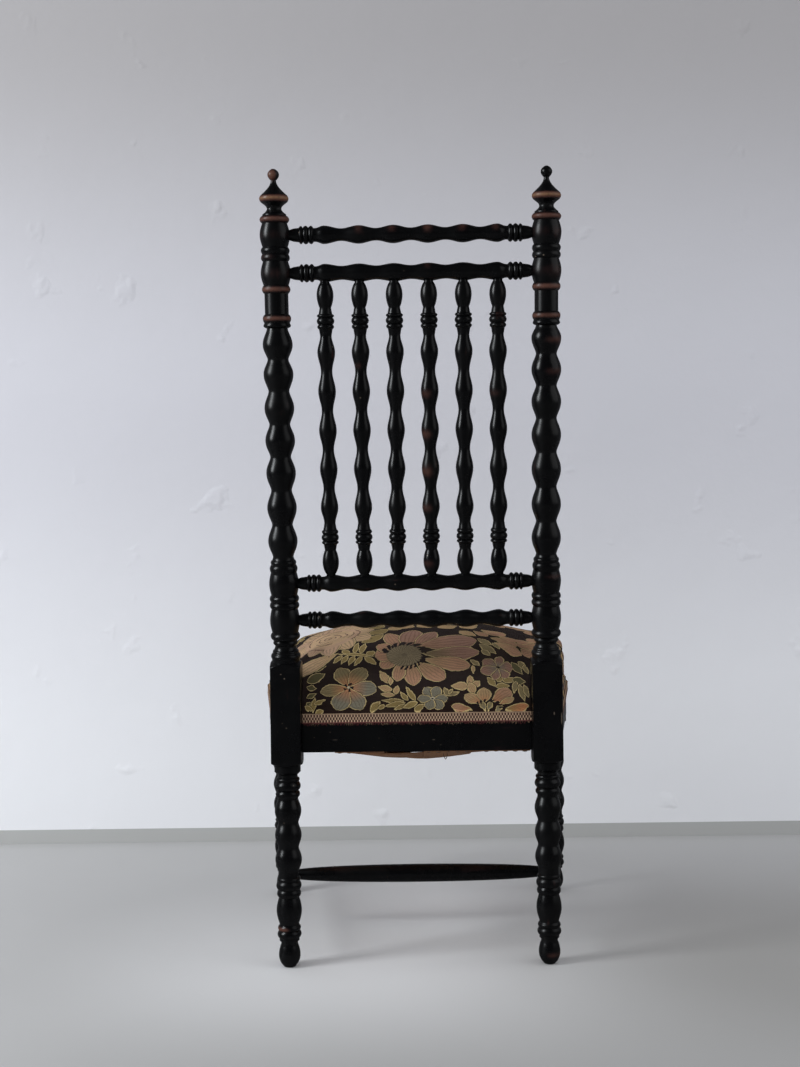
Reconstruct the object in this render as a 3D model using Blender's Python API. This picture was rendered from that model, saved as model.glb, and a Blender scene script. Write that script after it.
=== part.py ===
"""A high-backed turned chair with a sprung, upholstered seat, standing on its four feet.

The front of the seat faces -Y. Each post, leg, rail and spindle is one turned piece, drawn as
one outline that runs along its axis. The square blocks are the stock that the lathe left alone.
While the pieces are made, the axis of the rear legs lies at y = 0 and the floor at z = 0.
"""

import math

import bmesh
import bpy
from mathutils import Matrix, Vector
from mathutils.bvhtree import BVHTree

# Overall sizes, in metres
REAR_WIDTH = 0.419
FRONT_WIDTH = 0.512
LEG_DEPTH = 0.400
STOCK = 0.044
BACK_RAKE = math.radians(7.8)
FIT = 0.0003

# Square blocks, measured up from the lower shoulder
REAR_BLOCK_LENGTH = 0.1505
POMMEL_LENGTH = 0.009
BEND_BELOW_BLOCK_TOP = 0.016

# Seat rails
RAIL_ABOVE_BLOCK_FOOT = 0.0175
RAIL_HEIGHT = 0.064
RAIL_THICKNESS = 0.025
REAR_RAIL_SETBACK = 0.020
MORTISE_DEPTH = 0.016
TENON_THICKNESS = 0.008
TENON_HEIGHT = 0.040
BRACE_THICKNESS = 0.020
BRACE_HEIGHT = 0.036
BRACE_CLEARANCE = 0.004

# Turned rails and spindles of the back
SPINDLE_COUNT = 6
RAIL_BUMP = 0.0250
RAIL_WAISTS = (0.0170, 0.0180, 0.0190, 0.0170)
RAIL_END_GROUP = 0.0555
RAIL_LAST_FALL = 0.25
RAIL_NECK = 0.0187
RAIL_TENON = 0.0144
RAIL_TENON_STOP = 0.005
SPINDLE_BUMP = 0.0248
SPINDLE_WAIST = 0.0160
SPINDLE_END_GROUP = 0.0862
SPINDLE_PIN = 0.0130
SPINDLE_PIN_STOP = 0.003
SPINDLE_LAST_FALL = 0.82

# Stretchers
STRETCHER_MIDDLE = 0.0280
STRETCHER_TENON = 0.0126
STRETCHER_SHOULDER = 0.0150
STRETCHER_TENON_STOP = 0.004
CROSS_TENON = 0.0104
CROSS_SHOULDER = 0.0120

# Bobbins of the legs and posts
LEG_BOBBIN_COUNT = 3
LEG_BOBBIN_PITCH = 0.0352
LEG_BOBBIN = 0.0382
LEG_WAIST = 0.0295
POST_BOBBIN_COUNT = 7
POST_BOBBIN_PITCH = 0.0466
POST_BOBBIN = 0.0416
POST_WAIST = 0.0290
POST_LEAD_IN = 0.0042
POST_FIRST_RISE = 0.0227

# How far each bobbin sits above its even place, because the turner spaced them by eye
BOBBIN_SLIP = {
    "left": (0.0, 0.001, 0.0042, 0.0033, 0.002, 0.0029, -0.0029),
    "right": (0.0005, 0.0021, 0.0054, 0.0069, 0.0073, 0.0054, 0.0025),
}

# Turned outlines: shape, length, diameter at its middle, diameter at its upper end
FOOT_PAD = 0.018
LEG_FOOT = (
    ("bead", 0.0330, 0.0312, 0.0242),
    ("taper", 0.0045, None, 0.0242),
    ("taper", 0.0005, None, 0.0288),
    ("taper", 0.0035, None, 0.0288),
    ("bead", 0.0110, 0.0345, 0.0295),
    ("ring", 0.0075, 0.0330, 0.0288),
    ("taper", 0.0026, None, 0.0282),
)
LEG_VASE = (("barrel", 0.0374, 0.0363, 0.0291),)
LEG_LOWER_RINGS = (
    ("ring", 0.0108, 0.0345, 0.0310),
    ("bead", 0.0127, 0.0364, 0.0310),
    ("ring", 0.0060, 0.0338, 0.0300),
    ("taper", 0.0072, None, LEG_WAIST),
)
LEG_COLLAR = (
    ("taper", 0.0015, None, 0.0300),
    ("ring", 0.0100, 0.0352, 0.0302),
    ("bead", 0.0130, 0.0374, 0.0317),
    ("ring", 0.0063, 0.0345, 0.0290),
    ("taper", 0.0035, None, 0.0282),
    ("taper", 0.0045, None, 0.0378),
    ("taper", 0.0090, None, 0.0378),
    ("taper", 0.0005, None, 0.0400),
)
POST_BASE = (
    ("taper", 0.0035, None, 0.0400),
    ("bead", 0.0145, 0.0426, 0.0380),
    ("cove", 0.0095, 0.0316, 0.0373),
    ("taper", 0.0035, None, 0.0373),
    ("bead", 0.0110, 0.0412, 0.0370),
    ("barrel", 0.0345, 0.0424, 0.0372),
    ("bead", 0.0098, 0.0408, 0.0378),
    ("bead", 0.0099, 0.0408, 0.0369),
    ("barrel", 0.0330, 0.0422, 0.0366),
    ("bead", 0.0110, 0.0396, 0.0349),
    ("ring", 0.0070, 0.0364, 0.0320),
)
POST_HEAD = (
    ("ring", 0.0075, 0.0382, 0.0353),
    ("bead", 0.0120, 0.0394, 0.0330),
    ("taper", 0.0280, None, 0.0330),
    ("bead", 0.0115, 0.0394, 0.0347),
    ("barrel", 0.0325, 0.0416, 0.0348),
    ("bead", 0.0098, 0.0398, 0.0360),
    ("bead", 0.0098, 0.0398, 0.0348),
    ("barrel", 0.0320, 0.0416, 0.0345),
    ("bead", 0.0105, 0.0408, 0.0330),
    ("taper", 0.0015, None, 0.0330),
    ("cove", 0.0155, 0.0199, 0.0336),
    ("bead", 0.0115, 0.0403, 0.0336),
    ("scoop", 0.0189, None, 0.0073),
    ("ball", 0.0153, 0.0160, 0.0040),
)
RAIL_RINGS = (
    ("ring", 0.0065, 0.0234, 0.0205),
    ("ring", 0.0068, 0.0245, 0.0205),
    ("ring", 0.0072, 0.0240, 0.0215),
    ("taper", 0.0120, None, RAIL_TENON),
)
SPINDLE_RINGS = (
    ("taper", 0.0090, None, 0.0190),
    ("ring", 0.0065, 0.0234, 0.0198),
    ("bead", 0.0095, 0.0246, 0.0200),
    ("ring", 0.0050, 0.0240, 0.0190),
    ("taper", 0.0085, None, 0.0159),
    ("ball", 0.0345, 0.0234, SPINDLE_PIN),
)

# Webbing, springs and canvas under the seat
STRAP_WIDTH = 0.070
STRAP_THICKNESS = 0.002
STRAP_WEAVE_GAP = 0.0008
STRAP_GRIP = 0.018
STRAP_SAG = 0.040
SAG_POWER = 1.6
LONG_STRAPS = ("left", "middle", "right")
LONG_STRAP_SPACES = (0.38, 0.49, 0.11)
CROSS_STRAPS = ("rear", "middle", "front")
SPRING_WIRE = 0.0034
SPRING_END_RADIUS = 0.031
SPRING_WAIST_RADIUS = 0.021
SPRING_TURNS = 4
SPRING_FLAT_TURN = 0.85
SPRING_GAP = 0.0005
CANVAS_THICKNESS = 0.0012
CANVAS_RISE = 0.033
CANVAS_HEM = 0.012

# Upholstered top: height above the rails, and how far in from the cover's edge at the chair's own
# left, right, front and rear. The stuffing has shifted towards the right.
COVER_THICKNESS = 0.0025
SKIRT_BELOW_RAIL_TOP = 0.022
CROWN = (
    (0.013, (0.0005, -0.0015, 0.0000, -0.0010)),
    (0.028, (0.0050, -0.0025, 0.0005, 0.0010)),
    (0.043, (0.0130, -0.0030, 0.0030, 0.0140)),
    (0.053, (0.0260, -0.0022, 0.0080, 0.0300)),
    (0.063, (0.0520, 0.0010, 0.0160, 0.0450)),
    (0.072, (0.0820, 0.0100, 0.0280, 0.0600)),
    (0.080, (0.1080, 0.0400, 0.0450, 0.0780)),
    (0.088, (0.1350, 0.0760, 0.0680, 0.1000)),
    (0.096, (0.1630, 0.1080, 0.0980, 0.1270)),
    (0.102, (0.1880, 0.1360, 0.1320, 0.1600)),
    (0.106, (0.2150, 0.1760, 0.1720, 0.2050)),
)
CROWN_ROUNDING = 0.5
CROWN_ROUNDED_FROM = 0.145
UNDERSIDE_INSETS = (0.170, 0.125, 0.080, 0.045)
SIDE_SPLITS = (1, 5, 1, 6, 1, 5, 1, 6)
GIMP_HEIGHT = 0.014
GIMP_THICKNESS = 0.002

# Facets
SIDES = 8
STEPS = {"bead": 3, "barrel": 3, "ring": 2, "ball": 4, "cove": 3, "taper": 1, "swell": 2, "scoop": 3}
BOBBIN_FULLNESS = 0.78

# Places that follow from the sizes above
REAR_X = (REAR_WIDTH - STOCK) / 2
FRONT_X = (FRONT_WIDTH - STOCK) / 2
FRONT_Y = -LEG_DEPTH
REAR_RAIL_FACE = STOCK / 2 - REAR_RAIL_SETBACK
REAR_OPENING = REAR_RAIL_FACE - RAIL_THICKNESS
FRONT_OPENING = FRONT_Y - STOCK / 2 + RAIL_THICKNESS


def clear_scene():
    for found in list(bpy.data.objects):
        bpy.data.objects.remove(found, do_unlink=True)


def make_material(name, colour, roughness, metallic=0.0):
    material = bpy.data.materials.new(name)
    material.use_nodes = True
    shader = material.node_tree.nodes["Principled BSDF"]
    shader.inputs["Base Color"].default_value = (*colour, 1.0)
    shader.inputs["Roughness"].default_value = roughness
    shader.inputs["Metallic"].default_value = metallic
    material.diffuse_color = (*colour, 1.0)
    return material


# Turned outlines

def shape_share(shape, along):
    """How far the radius has gone from its start to its end, or from its ends to its middle."""
    if shape == "swell":
        return math.sin(math.pi / 2 * along**BOBBIN_FULLNESS) ** 2
    if shape == "scoop":
        return math.sin(math.pi * along / 2)
    return math.sin(math.pi * along)


def add_shape(outline, shape, length, middle, end):
    """Adds one turned shape to an outline of (distance, radius) points."""
    start, first = outline[-1]
    last = end / 2
    steps = STEPS[shape]
    fullest = max(shape_share(shape, k / steps) for k in range(1, steps + 1))
    for k in range(1, steps + 1):
        along = k / steps
        straight = first + (last - first) * along
        if shape == "taper":
            radius = straight
        elif shape == "swell" and last < first:
            radius = last + (first - last) * shape_share(shape, 1 - along)
        elif middle is None:
            radius = first + (last - first) * shape_share(shape, along)
        else:
            radius = straight + (middle / 2 - straight) * shape_share(shape, along) / fullest
        outline.append((start + length * along, radius))


def add_rows(outline, rows):
    """Adds each row's shape, and returns the distance to the middle of each barrel."""
    barrels = []
    for shape, length, middle, end in rows:
        if shape == "barrel":
            barrels.append(outline[-1][0] + length / 2)
        add_shape(outline, shape, length, middle, end)
    return barrels


def leg_outline():
    """From the floor to the block's lower shoulder, with the height of the stretcher's vase."""
    outline = [(0.0, FOOT_PAD / 2)]
    add_rows(outline, LEG_FOOT)
    vase = add_rows(outline, LEG_VASE)[0]
    add_rows(outline, LEG_LOWER_RINGS)
    for _ in range(LEG_BOBBIN_COUNT):
        add_shape(outline, "swell", LEG_BOBBIN_PITCH / 2, None, LEG_BOBBIN)
        add_shape(outline, "swell", LEG_BOBBIN_PITCH / 2, None, LEG_WAIST)
    add_rows(outline, LEG_COLLAR)
    return outline, vase


def corner_radius():
    return STOCK / math.sqrt(2)


def add_lower_pommel(outline):
    """The rounded shoulder where the round leg grows into the square block."""
    start, first = outline[-1]
    steps = STEPS["scoop"]
    for k in range(1, steps + 1):
        share = math.sin(math.pi / 2 * k / steps)
        outline.append((start + POMMEL_LENGTH * k / steps, first + (corner_radius() - first) * share))


def add_upper_pommel(outline, top, radius):
    steps = STEPS["scoop"]
    outline.append((top - POMMEL_LENGTH, corner_radius()))
    for k in range(1, steps + 1):
        share = 1 - math.cos(math.pi / 2 * k / steps)
        distance = top - POMMEL_LENGTH * (1 - k / steps)
        outline.append((distance, corner_radius() + (radius - corner_radius()) * share))


def add_post_bobbins(outline, side):
    """Bobbins of the back, each with its own small slip from the even spacing."""
    start = outline[-1][0]
    add_shape(outline, "taper", POST_LEAD_IN, None, POST_WAIST)
    even = start + POST_LEAD_IN + POST_FIRST_RISE
    places = [even + k * POST_BOBBIN_PITCH + slip for k, slip in enumerate(BOBBIN_SLIP[side])]
    end = start + POST_BOBBIN_COUNT * POST_BOBBIN_PITCH
    falls = [(low + high) / 2 for low, high in zip(places, places[1:])] + [end]
    for crown, waist in zip(places, falls):
        add_shape(outline, "swell", crown - outline[-1][0], None, POST_BOBBIN)
        add_shape(outline, "swell", waist - crown, None, POST_WAIST)


LEG, VASE_HEIGHT = leg_outline()
BLOCK_FOOT = LEG[-1][0]
BLOCK_TOP = BLOCK_FOOT + REAR_BLOCK_LENGTH
BEND = BLOCK_TOP - BEND_BELOW_BLOCK_TOP
RAIL_BOTTOM = BLOCK_FOOT + RAIL_ABOVE_BLOCK_FOOT
RAIL_TOP = RAIL_BOTTOM + RAIL_HEIGHT


def post_outline(side):
    """The whole rear post, from the floor to the ball, with the places of its four rails."""
    outline = list(LEG)
    add_lower_pommel(outline)
    outline.append((BEND, corner_radius()))
    add_upper_pommel(outline, BLOCK_TOP, POST_BASE[0][3] / 2)
    lower = add_rows(outline, POST_BASE)
    add_post_bobbins(outline, side)
    upper = add_rows(outline, POST_HEAD)
    return outline, lower + upper


def mirrored(half):
    """A whole outline from one that runs from the middle to an end."""
    return [(-distance, radius) for distance, radius in reversed(half[1:])] + half


def back_rail_outline(waist):
    """One bump behind each spindle, and the spacing of the spindles."""
    to_neck = REAR_X - RAIL_END_GROUP
    pitch = to_neck / (SPINDLE_COUNT / 2 - RAIL_LAST_FALL)
    half = [(0.0, waist / 2)]
    add_shape(half, "taper", pitch / 2, None, RAIL_BUMP)
    for _ in range(SPINDLE_COUNT // 2 - 1):
        add_shape(half, "taper", pitch / 2, None, waist)
        add_shape(half, "taper", pitch / 2, None, RAIL_BUMP)
    add_shape(half, "taper", to_neck - half[-1][0], None, RAIL_NECK)
    add_rows(half, RAIL_RINGS)
    half.append((REAR_X - RAIL_TENON_STOP, RAIL_TENON / 2))
    return mirrored(half), pitch


def spindle_outline(between_rails):
    zone = between_rails / 2 - SPINDLE_END_GROUP
    fall = zone / (SPINDLE_COUNT - 2 + SPINDLE_LAST_FALL)
    half = [(0.0, SPINDLE_BUMP / 2)]
    for _ in range(SPINDLE_COUNT // 2 - 1):
        add_shape(half, "taper", fall, None, SPINDLE_WAIST)
        add_shape(half, "taper", fall, None, SPINDLE_BUMP)
    add_shape(half, "taper", zone - half[-1][0], None, SPINDLE_WAIST)
    add_rows(half, SPINDLE_RINGS)
    half.append((between_rails / 2 - SPINDLE_PIN_STOP, SPINDLE_PIN / 2))
    return mirrored(half)


def stretcher_outline(axis_to_axis, carrier, shoulder, tenon, stop):
    """A lens shaved down from its middle to round tenons in two carriers of a given diameter."""
    reach = (axis_to_axis - carrier) / 2
    half = [(0.0, STRETCHER_MIDDLE / 2)]
    for share in (0.25, 0.5, 0.75, 0.9):
        swell = math.sqrt(1 - share**2)
        half.append((reach * share, (shoulder + (STRETCHER_MIDDLE - shoulder) * swell) / 2))
    half.append((reach - FIT, shoulder / 2))
    half.append((reach, tenon / 2))
    half.append((axis_to_axis / 2 - stop, tenon / 2))
    return mirrored(half)


# Solids, each as (points, faces)

def loft(rings):
    """A closed solid through rings of equally many points, with its two ends capped."""
    count = len(rings[0])
    points = [point for ring in rings for point in ring]
    faces = [tuple(reversed(range(count)))]
    for row in range(len(rings) - 1):
        low = row * count
        high = low + count
        for k in range(count):
            after = (k + 1) % count
            faces.append((low + k, low + after, high + after, high + k))
    faces.append(tuple(range(len(points) - count, len(points))))
    return points, faces


def turned(outline, frame_at, square=None):
    """Turns an outline round its axis. Square stock limits it to the stock's own faces."""
    rings = []
    for distance, radius in outline:
        place = frame_at(distance)
        ring = []
        for k in range(SIDES):
            angle = 2 * math.pi * k / SIDES
            reach = radius
            if square:
                reach = min(reach, square / 2 / max(abs(math.cos(angle)), abs(math.sin(angle))))
            ring.append(place @ Vector((reach * math.cos(angle), reach * math.sin(angle), 0)))
        rings.append(ring)
    return loft(rings)


def prism(outline, low, high):
    return loft([[Vector((x, y, z)) for x, y in outline] for z in (low, high)])


def box(low, high):
    outline = [(low[0], low[1]), (high[0], low[1]), (high[0], high[1]), (low[0], high[1])]
    return prism(outline, low[2], high[2])


def straight_frame(start, end):
    """Frames along the line from start to end, with the distance counted from its middle."""
    start = Vector(start)
    end = Vector(end)
    turn = (end - start).to_track_quat("Z", "Y").to_matrix().to_4x4()
    middle = (start + end) / 2

    def frame_at(distance):
        return Matrix.Translation(middle) @ turn @ Matrix.Translation((0, 0, distance))

    return frame_at


def drill(start, end, diameter):
    """The solid that a drill removes, whose flats clear a pin of this diameter by FIT."""
    radius = (diameter / 2 + FIT) / math.cos(math.pi / SIDES)
    half = (Vector(end) - Vector(start)).length / 2
    return turned([(-half, radius), (half, radius)], straight_frame(start, end))


def joined(solids):
    points = []
    faces = []
    for more_points, more_faces in solids:
        shift = len(points)
        points += more_points
        faces += [tuple(index + shift for index in face) for face in more_faces]
    return points, faces


# Objects

def new_object(name, solid, material=None):
    mesh = bpy.data.meshes.new(name)
    body = bmesh.new()
    corners = [body.verts.new(point) for point in solid[0]]
    for face in solid[1]:
        body.faces.new([corners[index] for index in face])
    bmesh.ops.recalc_face_normals(body, faces=body.faces)
    body.to_mesh(mesh)
    body.free()
    mesh.shade_smooth()
    mesh.set_sharp_from_angle(angle=math.radians(50))
    made = bpy.data.objects.new(name, mesh)
    bpy.context.scene.collection.objects.link(made)
    if material:
        mesh.materials.append(material)
        made.parent = bpy.data.objects["chair"]
    return made


def add_boolean(target, name, solid, operation):
    helper = new_object(target.name + "_" + name, solid)
    helper.parent = target.parent
    helper.hide_render = True
    helper.display_type = "WIRE"
    modifier = target.modifiers.new(name, "BOOLEAN")
    modifier.operation = operation
    modifier.solver = "EXACT"
    modifier.object = helper


# Where the posts and rails lie

def post_frame(x):
    """Frames up a rear post, whose axis bends back inside the block."""

    def frame_at(distance):
        beyond = distance - BEND
        if abs(beyond) < 1e-9:
            angle = BACK_RAKE / 2
        else:
            angle = BACK_RAKE if beyond > 0 else 0.0
        rise = max(beyond, 0.0)
        centre = (
            x,
            rise * math.sin(BACK_RAKE),
            min(distance, BEND) + rise * math.cos(BACK_RAKE),
        )
        return Matrix.Translation(centre) @ Matrix.Rotation(-angle, 4, "X")

    return frame_at


def back_point(x, distance):
    """The point at this x, level with a distance up the posts."""
    return post_frame(x)(distance).translation


def outer_x(y):
    """Outer face of the side rail at this y."""
    share = (-STOCK / 2 - y) / (LEG_DEPTH - STOCK)
    return (REAR_WIDTH + (FRONT_WIDTH - REAR_WIDTH) * share) / 2


def inner_x(y):
    slope = (FRONT_WIDTH - REAR_WIDTH) / 2 / (LEG_DEPTH - STOCK)
    return outer_x(y) - RAIL_THICKNESS * math.hypot(1, slope)


# Joinery: what each piece cuts from the one that it enters

def tenon(y, end, grow=0.0):
    """The tenon of a rear or front seat rail, whose shoulder lies at x = end."""
    middle = (RAIL_BOTTOM + RAIL_TOP) / 2
    half = (TENON_THICKNESS / 2 + grow, TENON_HEIGHT / 2 + grow)
    tip = end + math.copysign(MORTISE_DEPTH + grow, end)
    root = end - math.copysign(MORTISE_DEPTH, end)
    low, high = sorted((root, tip))
    return box((low, y - half[0], middle - half[1]), (high, y + half[0], middle + half[1]))


def side_tenon(side, y, direction, grow=0.0):
    """The side rail's tenon at its end y. It points towards -Y or +Y."""
    middle = (RAIL_BOTTOM + RAIL_TOP) / 2
    x = side * (outer_x(y) + inner_x(y)) / 2
    half = (TENON_THICKNESS / 2 + grow, TENON_HEIGHT / 2 + grow)
    low, high = sorted((y - direction * MORTISE_DEPTH, y + direction * (MORTISE_DEPTH + grow)))
    return box((x - half[0], low, middle - half[1]), (x + half[0], high, middle + half[1]))


def stretcher_ends(side):
    rear = Vector((side * REAR_X, 0, VASE_HEIGHT))
    front = Vector((side * FRONT_X, FRONT_Y, VASE_HEIGHT))
    return rear, front


def stretcher_drill(side, at_rear):
    rear, front = stretcher_ends(side)
    axis, other = (rear, front) if at_rear else (front, rear)
    towards = (other - axis).normalized()
    stop = axis + towards * (STRETCHER_TENON_STOP - FIT)
    return drill(stop, axis + towards * STOCK, STRETCHER_TENON)


def make_rear_post(name, side, wood, rail_heights):
    outline = post_outline(name.rsplit("_", 1)[1])[0]
    post = new_object(name, turned(outline, post_frame(side * REAR_X), STOCK), wood)
    holes = [stretcher_drill(side, True)]
    rear_rail_y = REAR_RAIL_FACE - RAIL_THICKNESS / 2
    inner_face = side * (REAR_X - STOCK / 2)
    holes.append(tenon(rear_rail_y, inner_face, FIT))
    holes.append(side_tenon(side, -STOCK / 2, 1, FIT))
    for height in rail_heights:
        stop = back_point(side * (REAR_X - RAIL_TENON_STOP + FIT), height)
        mouth = back_point(side * (REAR_X - STOCK), height)
        holes.append(drill(mouth, stop, RAIL_TENON))
    add_boolean(post, "joinery", joined(holes), "DIFFERENCE")


def make_front_leg(name, side, wood):
    outline = list(LEG)
    add_lower_pommel(outline)
    outline.append((RAIL_TOP, corner_radius()))
    foot = Vector((side * FRONT_X, FRONT_Y, 0))

    def frame_at(distance):
        return Matrix.Translation(foot + Vector((0, 0, distance)))

    leg = new_object(name, turned(outline, frame_at, STOCK), wood)
    front_rail_y = FRONT_Y - STOCK / 2 + RAIL_THICKNESS / 2
    inner_face = side * (FRONT_X - STOCK / 2)
    holes = [
        stretcher_drill(side, False),
        tenon(front_rail_y, inner_face, FIT),
        side_tenon(side, FRONT_Y + STOCK / 2, -1, FIT),
    ]
    add_boolean(leg, "joinery", joined(holes), "DIFFERENCE")


def make_back(wood):
    """The four turned rails and the spindles between the middle two."""
    heights = post_outline("left")[1]
    names = ("base_rail", "lower_spindle_rail", "upper_spindle_rail", "crest_rail")
    spindle_rails = dict(zip(names, heights))
    low = spindle_rails["lower_spindle_rail"]
    high = spindle_rails["upper_spindle_rail"]
    places = []
    for name, height, waist in zip(names, heights, RAIL_WAISTS):
        outline, pitch = back_rail_outline(waist)
        frame_at = straight_frame(back_point(-REAR_X, height), back_point(REAR_X, height))
        rail = new_object(name, turned(outline, frame_at), wood)
        places = [(k - (SPINDLE_COUNT - 1) / 2) * pitch for k in range(SPINDLE_COUNT)]
        if height not in (low, high):
            continue
        inward = 1 if height == low else -1
        holes = []
        for x in places:
            stop = back_point(x, height + inward * (SPINDLE_PIN_STOP - FIT))
            holes.append(drill(stop, back_point(x, height + inward * RAIL_BUMP), SPINDLE_PIN))
        add_boolean(rail, "spindle_holes", joined(holes), "DIFFERENCE")
    outline = spindle_outline(high - low)
    for number, x in enumerate(reversed(places), 1):
        frame_at = straight_frame(back_point(x, low), back_point(x, high))
        new_object(f"spindle_{number}", turned(outline, frame_at), wood)
    return heights


def make_seat_rails(wood):
    rear_half = REAR_X - STOCK / 2 - FIT
    front_half = FRONT_X - STOCK / 2 - FIT
    front_face = FRONT_Y - STOCK / 2
    for name, half, low, high in (
        ("seat_rail_rear", rear_half, REAR_OPENING, REAR_RAIL_FACE),
        ("seat_rail_front", front_half, front_face, FRONT_OPENING),
    ):
        rail = new_object(name, box((-half, low, RAIL_BOTTOM), (half, high, RAIL_TOP)), wood)
        tenons = [tenon((low + high) / 2, side * half) for side in (-1, 1)]
        add_boolean(rail, "tenons", joined(tenons), "UNION")
    rear_end = -STOCK / 2 - FIT
    front_end = FRONT_Y + STOCK / 2 + FIT
    for name, side in (("seat_rail_left", 1), ("seat_rail_right", -1)):
        corners = [(outer_x(rear_end), rear_end), (outer_x(front_end), front_end)]
        corners += [(inner_x(front_end), front_end), (inner_x(rear_end), rear_end)]
        outline = [(side * x, y) for x, y in corners]
        rail = new_object(name, prism(outline, RAIL_BOTTOM, RAIL_TOP), wood)
        tenons = joined([side_tenon(side, rear_end, 1), side_tenon(side, front_end, -1)])
        add_boolean(rail, "tenons", tenons, "UNION")


def make_braces(wood):
    """A mitred brace across each inner corner of the seat frame, just clear of the block."""
    middle = (RAIL_BOTTOM + RAIL_TOP) / 2
    slope = BRACE_THICKNESS * math.sqrt(2)
    for end, opening, block_x, block_y, inward in (
        ("rear", REAR_OPENING, REAR_X - STOCK / 2, -STOCK / 2, -1),
        ("front", FRONT_OPENING, FRONT_X - STOCK / 2, FRONT_Y + STOCK / 2, 1),
    ):
        line = opening + inward * FIT
        near = inner_x(line) - block_x + inward * (block_y - line)
        near = near + BRACE_CLEARANCE * math.sqrt(2)
        far = near + slope
        corners = [(inner_x(line + inward * near) - FIT, line + inward * near)]
        corners += [(inner_x(line + inward * far) - FIT, line + inward * far)]
        corners += [(inner_x(line) - far, line), (inner_x(line) - near, line)]
        for name, side in (("left", 1), ("right", -1)):
            outline = [(side * x, y) for x, y in corners]
            brace = prism(outline, middle - BRACE_HEIGHT / 2, middle + BRACE_HEIGHT / 2)
            new_object(f"corner_brace_{end}_{name}", brace, wood)


def make_stretchers(wood):
    """Two side stretchers between the vases of the legs, and a cross stretcher between them."""
    middles = []
    vase = LEG_VASE[0][2]
    for name, side in (("side_stretcher_left", 1), ("side_stretcher_right", -1)):
        rear, front = stretcher_ends(side)
        length = (front - rear).length
        outline = stretcher_outline(
            length, vase, STRETCHER_SHOULDER, STRETCHER_TENON, STRETCHER_TENON_STOP
        )
        piece = new_object(name, turned(outline, straight_frame(rear, front)), wood)
        middle = (rear + front) / 2
        middles.append(middle)
        stop = middle - Vector((side * (STRETCHER_TENON_STOP - FIT), 0, 0))
        mouth = middle - Vector((side * STRETCHER_MIDDLE, 0, 0))
        add_boolean(piece, "cross_hole", drill(stop, mouth, CROSS_TENON), "DIFFERENCE")
    length = (middles[1] - middles[0]).length
    slant = (FRONT_X - REAR_X) / LEG_DEPTH
    carrier = STRETCHER_MIDDLE + CROSS_SHOULDER * slant
    outline = stretcher_outline(
        length, carrier, CROSS_SHOULDER, CROSS_TENON, STRETCHER_TENON_STOP
    )
    new_object("cross_stretcher", turned(outline, straight_frame(*middles)), wood)


# Webbing, springs and canvas

def dome_share(x, y, power):
    """1 at the middle of the seat's opening, falling to 0 at the rails and outside them."""
    middle = (REAR_OPENING + FRONT_OPENING) / 2
    half = (REAR_OPENING - FRONT_OPENING) / 2
    across = max(0.0, 1 - abs(x / inner_x(y)) ** power)
    along = max(0.0, 1 - abs((y - middle) / half) ** power)
    return across * along


def webbing_height(x, y):
    """Mid surface of the webbing, tacked under the rails and pressed down by the springs."""
    tacked = RAIL_BOTTOM - FIT - STRAP_THICKNESS / 2
    return tacked - STRAP_SAG * dome_share(x, y, SAG_POWER)


def canvas_height(x, y):
    """Underside of the canvas over the springs."""
    return RAIL_TOP + FIT + CANVAS_RISE * dome_share(x, y, 2)


def long_strap_places():
    """Middles of the front-to-back straps, which share out the width between the rear blocks."""
    half_width = REAR_X - STOCK / 2
    spare = 2 * half_width - len(LONG_STRAPS) * STRAP_WIDTH
    places = []
    edge = half_width
    for space in LONG_STRAP_SPACES:
        places.append(edge - space * spare - STRAP_WIDTH / 2)
        edge = places[-1] - STRAP_WIDTH / 2
    return places


def cross_strap_places():
    """Middles of the side-to-side straps, evenly spaced over the seat's opening."""
    depth = REAR_OPENING - FRONT_OPENING
    space = (depth - len(CROSS_STRAPS) * STRAP_WIDTH) / (len(CROSS_STRAPS) + 1)
    pitch = space + STRAP_WIDTH
    return [REAR_OPENING - space - STRAP_WIDTH / 2 - k * pitch for k in range(len(CROSS_STRAPS))]


def weave_lift():
    return (STRAP_THICKNESS + STRAP_WEAVE_GAP) / 2


def strap(stations, across_points, place):
    """A flat band over a grid of places, split along the same diagonals as the band it crosses."""
    half = Vector((0, 0, STRAP_THICKNESS / 2))
    middles = []
    for station, lift in stations:
        middles += [place(station, across) + Vector((0, 0, lift)) for across in across_points]
    points = [middle - half for middle in middles] + [middle + half for middle in middles]
    count = len(middles)
    row = len(across_points)
    faces = []
    for a in range(count - row):
        b, c, d = a + 1, a + row + 1, a + row
        if a % row == 0:
            faces += [(a, d, d + count, a + count)]
        if b % row == 0:
            faces += [(a, a + count, d + count, d)]
            continue
        faces += [(a, b, d), (b, c, d)]
        faces += [(a + count, d + count, b + count), (b + count, d + count, c + count)]
    for start in (0, count - row):
        for a in range(start, start + row - 1):
            faces.append((a, a + 1, a + 1 + count, a + count))
    return points, faces


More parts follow.
